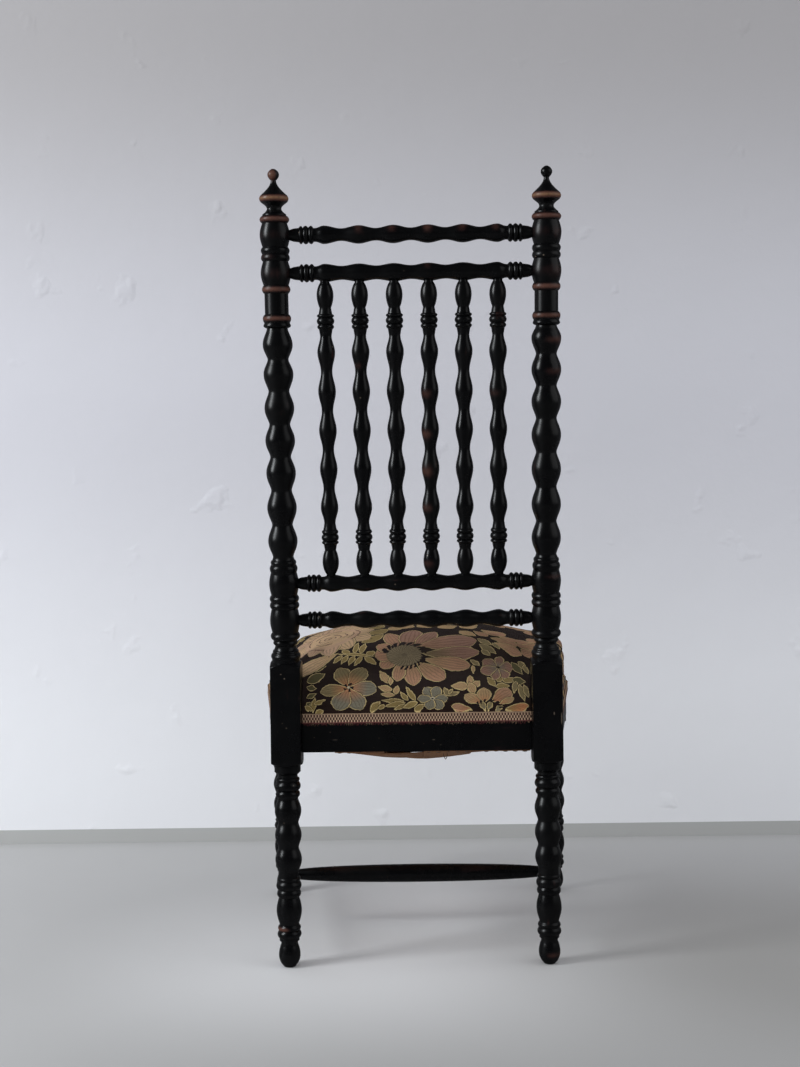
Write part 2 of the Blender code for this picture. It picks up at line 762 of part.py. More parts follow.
def make_webbing(jute):
    half = STRAP_WIDTH / 2
    straps = {}
    cross_places = list(zip(CROSS_STRAPS, cross_strap_places()))
    long_places = list(zip(LONG_STRAPS, long_strap_places()))
    for i, (name, x_middle) in enumerate(long_places):
        stations = [(REAR_OPENING + STRAP_GRIP, 0.0), (REAR_OPENING, 0.0)]
        for j, (_, y_middle) in enumerate(cross_places):
            lift = weave_lift() * (-1) ** (i + j)
            stations += [(y_middle + shift, lift) for shift in (half, 0.0, -half)]
        stations += [(FRONT_OPENING, 0.0), (FRONT_OPENING - STRAP_GRIP, 0.0)]

        def place(y, x):
            return Vector((x, y, webbing_height(x, y)))

        across = [x_middle - half, x_middle, x_middle + half]
        straps[f"long_strap_{name}"] = strap(stations, across, place)
    for j, (name, y_middle) in enumerate(cross_places):
        stations = [((1, STRAP_GRIP), 0.0), ((1, 0.0), 0.0)]
        for i, (_, x_middle) in enumerate(long_places):
            lift = -weave_lift() * (-1) ** (i + j)
            stations += [((0, x_middle + shift), lift) for shift in (half, 0.0, -half)]
        stations += [((-1, 0.0), 0.0), ((-1, STRAP_GRIP), 0.0)]

        def place(station, y):
            """At a rail the band follows the rail's slant, and between them it runs straight."""
            side, offset = station
            x = side * (inner_x(y) + offset) if side else offset
            return Vector((x, y, webbing_height(x, y)))

        across = [y_middle - half, y_middle, y_middle + half]
        straps[f"cross_strap_{name}"] = strap(stations, across, place)
    for name, solid in straps.items():
        new_object(name, solid, jute)
    return joined(straps.values())


def surface_beyond(solid, direction):
    """A function for the height at which a line up or down from inside the seat meets a solid."""
    tree = BVHTree.FromPolygons(*solid)
    level = (RAIL_BOTTOM + RAIL_TOP) / 2

    def height(x, y):
        met = tree.ray_cast(Vector((x, y, level)), Vector((0, 0, direction)))[0]
        return met.z if met else None

    return height


def spring_points(x_middle, y_middle, webbing_top, canvas_under):
    """A waisted coil whose end turns follow the webbing below and the canvas above."""
    points = []
    radius = SPRING_WIRE / 2
    per_turn = SIDES
    rising = SPRING_TURNS - 2 * SPRING_FLAT_TURN
    for k in range(SPRING_TURNS * per_turn + 1):
        turn = k / per_turn
        rise = min(max((turn - SPRING_FLAT_TURN) / rising, 0.0), 1.0)
        waist = SPRING_END_RADIUS - SPRING_WAIST_RADIUS
        reach = SPRING_END_RADIUS - waist * math.sin(math.pi * rise)
        x = x_middle + reach * math.cos(2 * math.pi * turn)
        y = y_middle + reach * math.sin(2 * math.pi * turn)
        over_strap = webbing_height(x, y) + weave_lift() + STRAP_THICKNESS / 2
        low = max(over_strap, webbing_top(x, y) or over_strap) + SPRING_GAP + radius
        under_canvas = canvas_height(x, y)
        high = min(under_canvas, canvas_under(x, y) or under_canvas) - SPRING_GAP - radius
        points.append(Vector((x, y, low + (high - low) * rise)))
    return points


def make_springs(steel, webbing, canvas):
    """One coil in the middle and four over the crossings nearest the corners."""
    rear, middle, front = cross_strap_places()
    left, *others = long_strap_places()
    right = sum(others) / len(others)
    places = {
        "rear_left": (left, rear),
        "rear_right": (right, rear),
        "middle": (0.0, middle),
        "front_left": (left, front),
        "front_right": (right, front),
    }
    webbing_top = surface_beyond(webbing, -1)
    canvas_under = surface_beyond(canvas, 1)
    for name, (x, y) in places.items():
        curve = bpy.data.curves.new(f"spring_{name}", "CURVE")
        curve.dimensions = "3D"
        curve.bevel_depth = SPRING_WIRE / 2
        curve.bevel_resolution = 0
        curve.use_fill_caps = True
        route = spring_points(x, y, webbing_top, canvas_under)
        spline = curve.splines.new("POLY")
        spline.points.add(len(route) - 1)
        for target, point in zip(spline.points, route):
            target.co = (*point, 1.0)
        curve.materials.append(steel)
        spring = bpy.data.objects.new(f"spring_{name}", curve)
        bpy.context.scene.collection.objects.link(spring)
        spring.parent = bpy.data.objects["chair"]


# The upholstered top

def seat_corners():
    """Outer faces of the seat frame in plan, one corner after another."""
    right_side = [
        (REAR_WIDTH / 2, REAR_RAIL_FACE),
        (REAR_WIDTH / 2, -STOCK / 2),
        (FRONT_WIDTH / 2, FRONT_Y + STOCK / 2),
        (FRONT_WIDTH / 2, FRONT_Y - STOCK / 2),
    ]
    return right_side + [(-x, y) for x, y in reversed(right_side)]


def grown(corners, distance):
    """Moves each side of a plan outwards by this distance."""
    made = []
    for k, corner in enumerate(corners):
        before = Vector(corners[k - 1])
        here = Vector(corner)
        after = Vector(corners[(k + 1) % len(corners)])
        first = (here - before).normalized()
        second = (after - here).normalized()
        first_out = Vector((-first.y, first.x))
        second_out = Vector((-second.y, second.x))
        outwards = (first_out + second_out).normalized()
        made.append(here + outwards * distance / outwards.dot(first_out))
    return made


def split_sides(corners):
    """More points along each side, so that the crown can round off between the corners."""
    made = []
    for k, splits in enumerate(SIDE_SPLITS):
        here = corners[k]
        after = corners[(k + 1) % len(corners)]
        made += [here.lerp(after, n / splits) for n in range(splits)]
    return made


def seat_ring(left, right, front, rear):
    """The cover's plan, brought in from each edge and rounded more the further in it lies."""
    edge = FIT + COVER_THICKNESS
    rear_edge = REAR_RAIL_FACE + edge
    front_edge = FRONT_Y - STOCK / 2 - edge
    middle = Vector((0, (rear_edge + front_edge) / 2))
    half = Vector((FRONT_WIDTH / 2 + edge, (rear_edge - front_edge) / 2))
    inset = (left + right + front + rear) / 4
    rounding = CROWN_ROUNDING * min(max(inset, 0) / CROWN_ROUNDED_FROM, 1)
    depth = rear_edge - rear - front_edge - front
    ring = []
    for point in split_sides(grown(seat_corners(), edge)):
        out = point - middle
        angle = math.atan2(out.y / half.y, out.x / half.x)
        oval = Vector((half.x * math.cos(angle), half.y * math.sin(angle)))
        shaped = out.lerp(oval, rounding)
        x = shaped.x * (1 - (left + right) / 2 / half.x) - (left - right) / 2
        y = front_edge + front + depth * (shaped.y / half.y + 1) / 2
        ring.append(Vector((x, y)))
    return ring


def bands(first, rows, size):
    """Triangles between rings of points, split alike in pieces that lie on one another."""
    faces = []
    for low in range(first, first + (rows - 1) * size, size):
        high = low + size
        for k in range(size):
            after = (k + 1) % size
            faces += [(low + k, low + after, high + after), (low + k, high + after, high + k)]
    return faces


def dome(hem, height_at):
    """A surface over the seat's opening, from a middle point out to the hem."""
    plans = [seat_ring(*[inset] * 4) for inset in UNDERSIDE_INSETS] + [hem]
    size = len(hem)
    flat = [Vector((0, (REAR_OPENING + FRONT_OPENING) / 2))]
    flat += [point for plan in plans for point in plan]
    faces = [(0, 1 + k, 1 + (k + 1) % size) for k in range(size)]
    faces += bands(1, len(plans), size)
    return [Vector((*point, height_at(point.x, point.y))) for point in flat], faces


def flat_ring(plan, height):
    return [Vector((*point, height)) for point in plan]


def block_notches():
    """The room that the rear blocks take out of whatever lies over the seat frame."""
    notches = []
    for side in (-1, 1):
        low_x, high_x = sorted((side * (REAR_X - STOCK / 2 - FIT), side * REAR_WIDTH))
        low = (low_x, -STOCK / 2 - FIT, RAIL_BOTTOM)
        notches.append(box(low, (high_x, STOCK, BLOCK_TOP + STOCK)))
    return joined(notches)


def canvas_top(x, y):
    return canvas_height(x, y) + CANVAS_THICKNESS


def cover_underside(x, y):
    return canvas_top(x, y) + FIT


def make_canvas(jute):
    hem = split_sides(grown(seat_corners(), -CANVAS_HEM))
    under, faces = dome(hem, canvas_height)
    over = dome(hem, canvas_top)[0]
    count = len(under)
    faces += [tuple(index + count for index in face) for face in faces]
    last = count - len(hem)
    for k in range(len(hem)):
        after = last + (k + 1) % len(hem)
        faces.append((last + k, after, after + count, last + k + count))
    canvas = new_object("spring_canvas", (under + over, faces), jute)
    add_boolean(canvas, "block_notches", block_notches(), "DIFFERENCE")
    return under + over, faces


def make_cushion(fabric):
    hem = split_sides(grown(seat_corners(), -CANVAS_HEM + FIT))
    inner_plan = split_sides(grown(seat_corners(), FIT))
    skirt = RAIL_TOP - SKIRT_BELOW_RAIL_TOP
    rings = [
        flat_ring(inner_plan, RAIL_TOP + CANVAS_THICKNESS + 2 * FIT),
        flat_ring(inner_plan, skirt),
        flat_ring(seat_ring(0, 0, 0, 0), skirt),
        flat_ring(seat_ring(0, 0, 0, 0), skirt + GIMP_HEIGHT + FIT),
    ]
    for height, insets in CROWN:
        rings.append(flat_ring(seat_ring(*insets), RAIL_TOP + height))
    points, faces = dome(hem, cover_underside)
    faces += bands(len(points) - len(hem), len(rings) + 1, len(hem))
    for ring in rings:
        points += ring
    faces.append(tuple(range(len(points) - len(hem), len(points))))
    cushion = new_object("seat_cushion", (points, faces), fabric)
    add_boolean(cushion, "block_notches", block_notches(), "DIFFERENCE")


def make_gimp(braid):
    """Braid over the cover's lower edge: one length behind, one round the sides and front."""
    low = RAIL_TOP - SKIRT_BELOW_RAIL_TOP
    high = low + GIMP_HEIGHT
    inner = FIT + COVER_THICKNESS + FIT
    half = REAR_X - STOCK / 2 - 2 * FIT
    face = REAR_RAIL_FACE + inner
    new_object("gimp_rear", box((-half, face, low), (half, face + GIMP_THICKNESS, high)), braid)
    plans = []
    for offset in (inner, inner + GIMP_THICKNESS):
        plan = grown(seat_corners(), offset)[1:7]
        plan[0] = Vector((plan[0].x, -STOCK / 2 - FIT))
        plan[-1] = Vector((plan[-1].x, -STOCK / 2 - FIT))
        plans.append(plan)
    rings = []
    for near, far in zip(*plans):
        rings.append([Vector((*p, z)) for p, z in ((near, low), (far, low), (far, high), (near, high))])
    new_object("gimp_sides_and_front", loft(rings), braid)


def centre_on_floor():
    """Brings the middle of the chair's own box over the origin."""
    graph = bpy.context.evaluated_depsgraph_get()
    extents = []
    for made in bpy.data.objects:
        if made.type == "MESH" and not made.hide_render:
            extents += [corner[1] for corner in made.evaluated_get(graph).bound_box]
    bpy.data.objects["chair"].location.y = -(min(extents) + max(extents)) / 2


def build():
    clear_scene()
    root = bpy.data.objects.new("chair", None)
    bpy.context.scene.collection.objects.link(root)
    wood = make_material("ebonised_wood", (0.018, 0.018, 0.020), 0.38)
    fabric = make_material("tapestry", (0.27, 0.20, 0.13), 0.9)
    braid = make_material("gimp_braid", (0.50, 0.33, 0.24), 0.85)
    jute = make_material("jute", (0.42, 0.29, 0.17), 0.95)
    steel = make_material("spring_steel", (0.30, 0.27, 0.25), 0.45, 0.9)
    heights = make_back(wood)
    make_rear_post("rear_post_left", 1, wood, heights)
    make_rear_post("rear_post_right", -1, wood, heights)
    make_front_leg("front_leg_left", 1, wood)
    make_front_leg("front_leg_right", -1, wood)
    make_seat_rails(wood)
    make_braces(wood)
    make_stretchers(wood)
    webbing = make_webbing(jute)
    canvas = make_canvas(jute)
    make_springs(steel, webbing, canvas)
    make_cushion(fabric)
    make_gimp(braid)
    centre_on_floor()


build()
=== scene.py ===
import math

import bpy
import numpy as np
from mathutils import Matrix, Vector
from mathutils import noise as hand


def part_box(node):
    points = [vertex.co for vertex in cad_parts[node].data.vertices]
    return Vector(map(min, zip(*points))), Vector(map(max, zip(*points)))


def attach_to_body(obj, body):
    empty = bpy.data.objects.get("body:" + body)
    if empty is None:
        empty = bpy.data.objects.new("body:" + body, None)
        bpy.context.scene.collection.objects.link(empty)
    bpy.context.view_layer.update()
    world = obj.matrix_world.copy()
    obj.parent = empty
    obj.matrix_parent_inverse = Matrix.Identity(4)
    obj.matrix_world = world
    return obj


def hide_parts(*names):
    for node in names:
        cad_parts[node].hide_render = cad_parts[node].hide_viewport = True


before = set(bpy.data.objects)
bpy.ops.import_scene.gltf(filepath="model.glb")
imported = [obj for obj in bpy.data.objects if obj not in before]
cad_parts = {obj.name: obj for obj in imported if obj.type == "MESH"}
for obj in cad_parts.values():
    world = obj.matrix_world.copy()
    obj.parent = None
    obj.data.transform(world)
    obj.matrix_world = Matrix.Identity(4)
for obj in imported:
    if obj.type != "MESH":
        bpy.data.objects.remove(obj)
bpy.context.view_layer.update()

# Sizes of the chair, in metres
REAR_X = 0.1875
FRONT_X = 0.234
LEG_DEPTH = 0.400
STOCK = 0.044
BACK_RAKE = math.radians(7.8)
BLOCK_LENGTH = 0.1505
POMMEL_LENGTH = 0.009
BEND_BELOW_BLOCK_TOP = 0.016
RAIL_ABOVE_BLOCK_FOOT = 0.0175
RAIL_HEIGHT = 0.064
RAIL_THICKNESS = 0.025
REAR_RAIL_FACE = 0.002
FIT = 0.0003

# Turned rails, spindles and stretchers
SPINDLE_COUNT = 6
RAIL_BUMP = 0.0250
RAIL_WAISTS = {
    "base_rail": 0.0170,
    "lower_spindle_rail": 0.0180,
    "upper_spindle_rail": 0.0190,
    "crest_rail": 0.0170,
}
RAIL_END_GROUP = 0.0555
RAIL_LAST_FALL = 0.25
RAIL_NECK = 0.0187
RAIL_TENON = 0.0144
SPINDLE_BUMP = 0.0248
SPINDLE_SIDE_BUMPS = 2
SPINDLE_WAIST = 0.0160
SPINDLE_END_GROUP = 0.0862
SPINDLE_PIN = 0.0130
SPINDLE_PIN_STOP = 0.003
SPINDLE_LAST_FALL = 0.82
STRETCHER_MIDDLE = 0.0280
STRETCHER_SHOULDER = 0.0150
STRETCHER_LENS_STOP = 0.012
STRETCHER_STOP = 0.004
CROSS_SHOULDER = 0.0120

# Bobbins of the legs and posts
LEG_BOBBIN_COUNT = 3
LEG_BOBBIN_PITCH = 0.0352
LEG_BOBBIN = 0.0382
LEG_WAIST = 0.0295
POST_BOBBIN_COUNT = 7
POST_BOBBIN_PITCH = 0.0466
POST_BOBBIN = 0.0416
POST_WAIST = 0.0290
POST_LEAD_IN = 0.0042
POST_FIRST_RISE = 0.0227
BOBBIN_SLIP = {
    "left": (0.0, 0.001, 0.0042, 0.0033, 0.002, 0.0029, -0.0029),
    "right": (0.0005, 0.0021, 0.0054, 0.0069, 0.0073, 0.0054, 0.0025),
}

# Turned outlines: shape, length, diameter at its middle, diameter at its upper end
LEG_FOOT = (
    ("bead", 0.0330, 0.0312, 0.0242),
    ("taper", 0.0045, None, 0.0242),
    ("taper", 0.0005, None, 0.0288),
    ("taper", 0.0035, None, 0.0288),
    ("bead", 0.0110, 0.0345, 0.0295),
    ("ring", 0.0075, 0.0330, 0.0288),
    ("taper", 0.0026, None, 0.0282),
    ("barrel", 0.0374, 0.0363, 0.0291),
    ("ring", 0.0108, 0.0345, 0.0310),
    ("bead", 0.0127, 0.0364, 0.0310),
    ("ring", 0.0060, 0.0338, 0.0300),
    ("taper", 0.0072, None, LEG_WAIST),
)
LEG_COLLAR = (
    ("taper", 0.0015, None, 0.0300),
    ("ring", 0.0100, 0.0352, 0.0302),
    ("bead", 0.0130, 0.0374, 0.0317),
    ("ring", 0.0063, 0.0345, 0.0290),
    ("taper", 0.0035, None, 0.0282),
    ("taper", 0.0045, None, 0.0378),
    ("taper", 0.0090, None, 0.0378),
    ("taper", 0.0005, None, 0.0400),
)
POST_BASE = (
    ("taper", 0.0035, None, 0.0400),
    ("bead", 0.0082, 0.0426, 0.0385),
    ("ring", 0.0050, 0.0374, 0.0335),
    ("taper", 0.0045, None, 0.0300),
    ("taper", 0.0023, None, 0.0298),
    ("ring", 0.0070, 0.0352, 0.0335),
    ("taper", 0.0012, None, 0.0366),
    ("bead", 0.0103, 0.0422, 0.0370),
    ("barrel", 0.0345, 0.0426, 0.0372),
    ("bead", 0.0098, 0.0422, 0.0378),
    ("bead", 0.0099, 0.0420, 0.0369),
    ("barrel", 0.0330, 0.0422, 0.0366),
    ("bead", 0.0110, 0.0396, 0.0349),
    ("ring", 0.0070, 0.0364, 0.0320),
)
POST_HEAD = (
    ("ring", 0.0075, 0.0382, 0.0353),
    ("bead", 0.0120, 0.0394, 0.0330),
    ("taper", 0.0280, None, 0.0330),
    ("bead", 0.0115, 0.0394, 0.0347),
    ("barrel", 0.0325, 0.0416, 0.0348),
    ("bead", 0.0098, 0.0398, 0.0360),
    ("bead", 0.0098, 0.0398, 0.0348),
    ("barrel", 0.0320, 0.0416, 0.0345),
    ("bead", 0.0105, 0.0408, 0.0330),
    ("taper", 0.0015, None, 0.0330),
    ("cove", 0.0155, 0.0199, 0.0336),
    ("bead", 0.0115, 0.0403, 0.0336),
    ("scoop", 0.0189, None, 0.0073),
    ("ball", 0.0153, 0.0160, 0.0040),
)
RAIL_RINGS = (
    ("taper", 0.0020, None, RAIL_NECK),
    ("ring", 0.0070, 0.0250, 0.0196),
    ("ring", 0.0078, 0.0252, 0.0190),
    ("ring", 0.0054, 0.0248, 0.0196),
    ("taper", 0.0080, None, 0.0176),
    ("taper", 0.0046, None, RAIL_TENON),
)
SPINDLE_RINGS = (
    ("taper", 0.0090, None, 0.0190),
    ("ring", 0.0065, 0.0234, 0.0198),
    ("bead", 0.0095, 0.0246, 0.0200),
    ("ring", 0.0050, 0.0240, 0.0190),
    ("taper", 0.0085, None, 0.0159),
    ("ball", 0.0345, 0.0234, SPINDLE_PIN),
)
# Points along each shape
STEPS = {
    "bead": 10,
    "barrel": 14,
    "ring": 8,
    "ball": 14,
    "cove": 10,
    "taper": 2,
    "swell": 12,
    "wave": 14,
    "scoop": 12,
    "lens": 30,
}
BOBBIN_FULLNESS = 0.78
FOOT_EDGE = ((0.0, 0.0072), (0.0006, 0.0084), (0.0018, 0.0093))
BLOCK_STEPS = 12
CORNER_EASE = 0.0011
BEND_EASE = 0.004
POST_SIDES = 48
RAIL_SIDES = 32
SPINDLE_SIDES = 28
TURNED_SHARP = 42.0
SAWN_EDGE = 0.0009
# How far a turning stands out is judged against the stretch around it, sampled in even steps
RELIEF_STEP = 0.0005
RELIEF_REACH = 28
FULL_RELIEF = 0.0035

# Finish worn through to the wood: piece, distance along it, half width of the band, strength, and
# the way that the worn side faces, in degrees round the axis, where it isn't worn all the way round.
# Distances run up from the floor on posts and legs, and out from the middle on the rest.
WORN_BANDS = {
    "rear_post": (
        (1.0909, 0.0044, 0.88),
        (1.0629, 0.0044, 0.62),
        (0.9678, 0.0044, 0.64),
        (0.9281, 0.0044, 0.60),
        (1.0416, 0.0100, 0.26),
        (0.9898, 0.0100, 0.24),
    ),
    "rear_post_left": (
        (1.1225, 0.0090, 0.72, 70),
        (0.0560, 0.0040, 0.62, 40),
        (1.0120, 0.0060, 0.34, 40),
    ),
    "rear_post_right": (
        (0.8949, 0.0080, 0.44, 130),
        (0.8517, 0.0080, 0.38, 130),
        (0.0150, 0.0060, 0.42, 120),
        (0.5620, 0.0060, 0.36, 130),
        (0.9898, 0.0130, 0.36, 150),
        (1.0416, 0.0130, 0.34, 150),
    ),
    "crest_rail": (
        (0.0720, 0.0090, 0.40, 50),
        (0.0260, 0.0090, 0.40, 50),
        (-0.0230, 0.0100, 0.46, 50),
        (-0.0710, 0.0100, 0.42, 50),
        (-0.1170, 0.0090, 0.40, 50),
    ),
    "upper_spindle_rail": (
        (-0.0230, 0.0070, 0.34, 60),
    ),
    "spindle_4": (
        (0.0497, 0.0110, 0.42, 235),
        (-0.0063, 0.0110, 0.46, 235),
        (-0.0595, 0.0120, 0.46, 235),
        (-0.1100, 0.0100, 0.40, 235),
        (-0.1900, 0.0080, 0.38, 235),
    ),
    "spindle_2": (
        (0.0900, 0.0080, 0.34, 235),
    ),
    "spindle_6": (
        (0.0500, 0.0080, 0.34, 235),
    ),
    "cross_stretcher": (
        (0.0900, 0.0500, 0.24, 120),
        (-0.1300, 0.0400, 0.24, 120),
    ),
}
WORN_ARC = math.radians(62)

# Pale specks and chips on the back of the seat frame: place, and size across and up
SPECKS = (
    (0.1484, 0.1606, 0.3295, 0.0007, 0.0008),
    (0.1183, 0.1606, 0.3259, 0.0045, 0.0005),
    (0.0550, 0.1606, 0.3276, 0.0008, 0.0007),
    (-0.0095, 0.1606, 0.3188, 0.0007, 0.0007),
    (-0.0340, 0.1606, 0.3171, 0.0008, 0.0006),
    (-0.0240, 0.1606, 0.3244, 0.0030, 0.0006),
    (0.0624, 0.1606, 0.3140, 0.0006, 0.0006),
    (0.1922, 0.1806, 0.3531, 0.0007, 0.0007),
    (-0.1963, 0.1806, 0.3630, 0.0012, 0.0029),
    (-0.2068, 0.1796, 0.3555, 0.0013, 0.0105),
)

# Webbing, springs and canvas
STRAP_WIDTH = 0.070
STRAP_THICKNESS = 0.002
STRAP_WEAVE_GAP = 0.0008
STRAP_GRIP = 0.018
STRAP_STEPS_ALONG = 150
STRAP_STEPS_ACROSS = 25
STRAP_EDGE_WANDER = 0.0011
EDGE_GROWTH = 28
STRAP_BUMPS = 0.0003
STRAP_SAG = 0.040
SAG_POWER = 1.6
SAT_FROM = -0.012
SAT_REACH = 0.075
SAT_DROP = 0.0044
LONG_STRAPS = ("left", "middle", "right")
LONG_STRAP_SPACES = (0.38, 0.49, 0.11)
CROSS_STRAPS = ("rear", "middle", "front")
CANVAS_RISE = 0.033
CANVAS_HEM = 0.012
CANVAS_THICKNESS = 0.0012
CANVAS_OFF_BLOCK = 0.001
CANVAS_STEPS_ALONG = 70
CANVAS_STEPS_ACROSS = 80
SPRING_WIRE = 0.0034
SPRING_END_RADIUS = 0.031
SPRING_WAIST_RADIUS = 0.021
SPRING_TURNS = 4
SPRING_FLAT_TURN = 0.85
SPRING_STEPS = 24
SPRING_STAND = 1.2
SPRING_PRESS = 0.0016
SPRING_PRESS_REACH = 0.012

# Upholstered top: height above the rails, and how far in from the cover's edge at the chair's own
# left, its right, the front and the rear. Use has pushed the stuffing over to the right.
COVER_THICKNESS = 0.0014
SKIRT_BELOW_RAIL_TOP = 0.022
CROWN = (
    (0.013, (0.0030, 0.0030, 0.0000, -0.0010)),
    (0.028, (0.0076, 0.0046, 0.0005, 0.0010)),
    (0.043, (0.0114, 0.0040, 0.0030, 0.0140)),
    (0.053, (0.0165, 0.0008, 0.0080, 0.0300)),
    (0.063, (0.0260, -0.0046, 0.0160, 0.0450)),
    (0.072, (0.0435, 0.0010, 0.0280, 0.0600)),
    (0.080, (0.0650, 0.0340, 0.0450, 0.0780)),
    (0.088, (0.0890, 0.0740, 0.0680, 0.1000)),
    (0.096, (0.1200, 0.1080, 0.0980, 0.1270)),
    (0.102, (0.1700, 0.1360, 0.1320, 0.1600)),
    (0.106, (0.2050, 0.1760, 0.1720, 0.2050)),
)
CROWN_ROUNDING = 0.5
CROWN_ROUNDED_FROM = 0.145
GIMP_HEIGHT = 0.014
GIMP_THICKNESS = 0.0015
STUFFING_SHRINK = 0.004
STUFFING_CAP = 0.0046
STUFFING_GRID = 0.008
STUFFING_RINGS = 38
STUFFING_FRAMES = 20
STUFFING_VOXEL = 0.0058
SHRINK_EASED_OVER = 0.03
HEM_BELOW_FOOT = 0.0075
HELD_ABOVE_FOOT = 0.004
HOLD_FADES_OVER = 0.016
FRAME_EDGE = 0.004
INSIDE_RAILS = 0.0045
COVER_OFF_BLOCK = 0.0006
# Hollows of long use, puckers over the tacks and folds at the corners
HOLLOWS_A_METRE = 16
HOLLOW = 0.0022
SMALL_HOLLOW = 0.0008
HOLLOW_GROWS_OVER = 0.05
PUCKER_PITCH = 0.031
PUCKER = 0.0006
PUCKER_FADES_OVER = 0.010
FOLD_ZONE = 0.09
FOLD_REACH = 0.05
FOLD = 0.0011
FOLDS_A_RADIAN = 11
BRAID_PITCH = 0.0043
# Rows of lozenges: height on the braid, and how far along it the first one sits
BRAID_ROWS = ((0.75, 0.0), (0.48, 0.5), (0.21, 0.0))
LOZENGE_LENGTH = 0.60
LOZENGE_HALF_HEIGHT = 0.136
BRAID_TWIST = 0.0016
BRAID_CORDS = (0.06, 0.94)
BRAID_CORD_REACH = 0.055
BRAID_FLAT = (0.14, 0.86)
BRAID_STEPS_UP = 15
BRAID_WAVE = 0.0003
BRAID_ZIGZAG = 0.0004
REAR_BRAID_STEP = 0.0011
SIDE_BRAID_STEP = 0.0016

# Tapestry, in millimetres over the flat cloth: across from the left of the back, up from the braid
PATTERN_START = 167.0
REPEAT_ACROSS = 341.0
REPEAT_UP = 246.0
ROSE_BEYOND = 70.0
ROSE_REPEAT_UP = 350.0
RIB_PITCH = 1.1
WARP_PITCH = 1.5
OUTLINE = 1.25
SEAM = 0.85
# How far along a leaf or petal is fullest, and how blunt its ends are
LEAF_SHAPE = (0.85, 0.95)
PETAL_SHAPE = (1.5, 0.62)
TINT_VALUES = {
    "ground": (30, 20, 18),
    "ground_red": (46, 30, 26),
    "outline": (208, 184, 130),
    "vein": (84, 68, 48),
    "olive": (140, 124, 88),
    "dim": (96, 90, 60),
    "grey": (132, 126, 108),
    "gold": (154, 132, 82),
    "beige": (188, 154, 112),
    "rose": (184, 140, 110),
    "mauve": (156, 118, 100),
    "heart": (194, 132, 90),
    "blush": (200, 164, 134),
    "sand": (206, 172, 134),
    "fold": (108, 78, 64),
    "middle": (116, 102, 80),
    "middle_light": (146, 130, 100),
    "dark": (34, 26, 28),
    "cream": (196, 184, 156),
}
# Flowers: colour at the heart and at the tip, where petals start, then the tip and width of each
ROSE_PETALS = (
    ("beige", "sand", 50, 117, (-18, 66, 30)),
    ("blush", "sand", 16, 205, (96, 166, 56), (96, 214, 56), (66, 128, 50)),
    ("sand", "blush", 16, 205, (34, 110, 46)),
    ("blush", "blush", 16, 205, (-6, 112, 48)),
    ("sand", "blush", 16, 205, (-46, 142, 64)),
    ("blush", "sand", 16, 205, (-68, 204, 66)),
    ("blush", "blush", 16, 205, (-70, 278, 70)),
    ("blush", "sand", 16, 205, (-30, 334, 74)),
    ("sand", "blush", 16, 205, (34, 338, 72)),
    ("blush", "sand", 16, 205, (88, 290, 68)),
)
PETALS = (
    # open flower, left
    ("heart", "olive", 68, 43, (53, 80, 27), (91, 79, 28)),
    ("heart", "grey", 68, 43, (109, 40, 26), (87, 3, 28), (51, 3, 29)),
    ("heart", "olive", 68, 43, (27, 36, 21)),
    # large flower, middle
    ("mauve", "rose", 148, 113, (123, 187, 30)),
    ("rose", "mauve", 151, 113, (163, 204, 37)),
    ("rose", "mauve", 162, 117, (195, 190, 29)),
    ("rose", "mauve", 169, 135, (258, 152, 56)),
    ("olive", "mauve", 174, 113, (261, 114, 34)),
    ("beige", "rose", 176, 101, (246, 83, 32)),
    ("beige", "rose", 166, 93, (207, 55, 32)),
    ("beige", "rose", 156, 95, (164, 45, 26)),
    ("beige", "rose", 146, 99, (138, 52, 20)),
    ("olive", "rose", 136, 106, (116, 79, 23)),
    ("olive", "rose", 136, 113, (105, 108, 33)),
    ("olive", "rose", 136, 122, (108, 139, 28)),
    # small flower
    ("grey", "grey", 190, 22, (179, 42, 17), (198, 43, 17), (212, 21, 17), (203, 3, 17)),
    ("grey", "grey", 190, 22, (183, 3, 17), (168, 21, 17)),
    # pointed flower
    ("grey", "mauve", 287, 81, (265, 95, 22), (292, 104, 15), (310, 80, 24), (300, 57, 18)),
    ("grey", "mauve", 287, 81, (280, 54, 15), (261, 70, 22)),
    # half flower at the braid
    ("heart", "beige", 260, 11, (237, 29, 21)),
    ("heart", "beige", 265, 12, (264, 40, 22)),
    ("heart", "rose", 275, 14, (304, 36, 27)),
    ("heart", "rose", 247, 2, (216, 8, 13)),
    ("gold", "heart", 294, 2, (330, 7, 14)),
    ("heart", "beige", 285, 10, (308, 21, 12)),
    ("grey", "olive", 266, 0, (259, 14, 9)),
    ("grey", "olive", 269, 0, (274, 14, 9)),
    ("grey", "olive", 280, 0, (290, 8, 9)),
    # long petals, upper right
    ("beige", "rose", 287, 164, (341, 145, 39)),
    ("beige", "rose", 288, 145, (339, 112, 36)),
    ("beige", "rose", 307, 179, (344, 164, 28)),
    ("beige", "rose", 263, 202, (284, 170, 24)),
    ("beige", "rose", 276, 216, (320, 187, 40)),
)
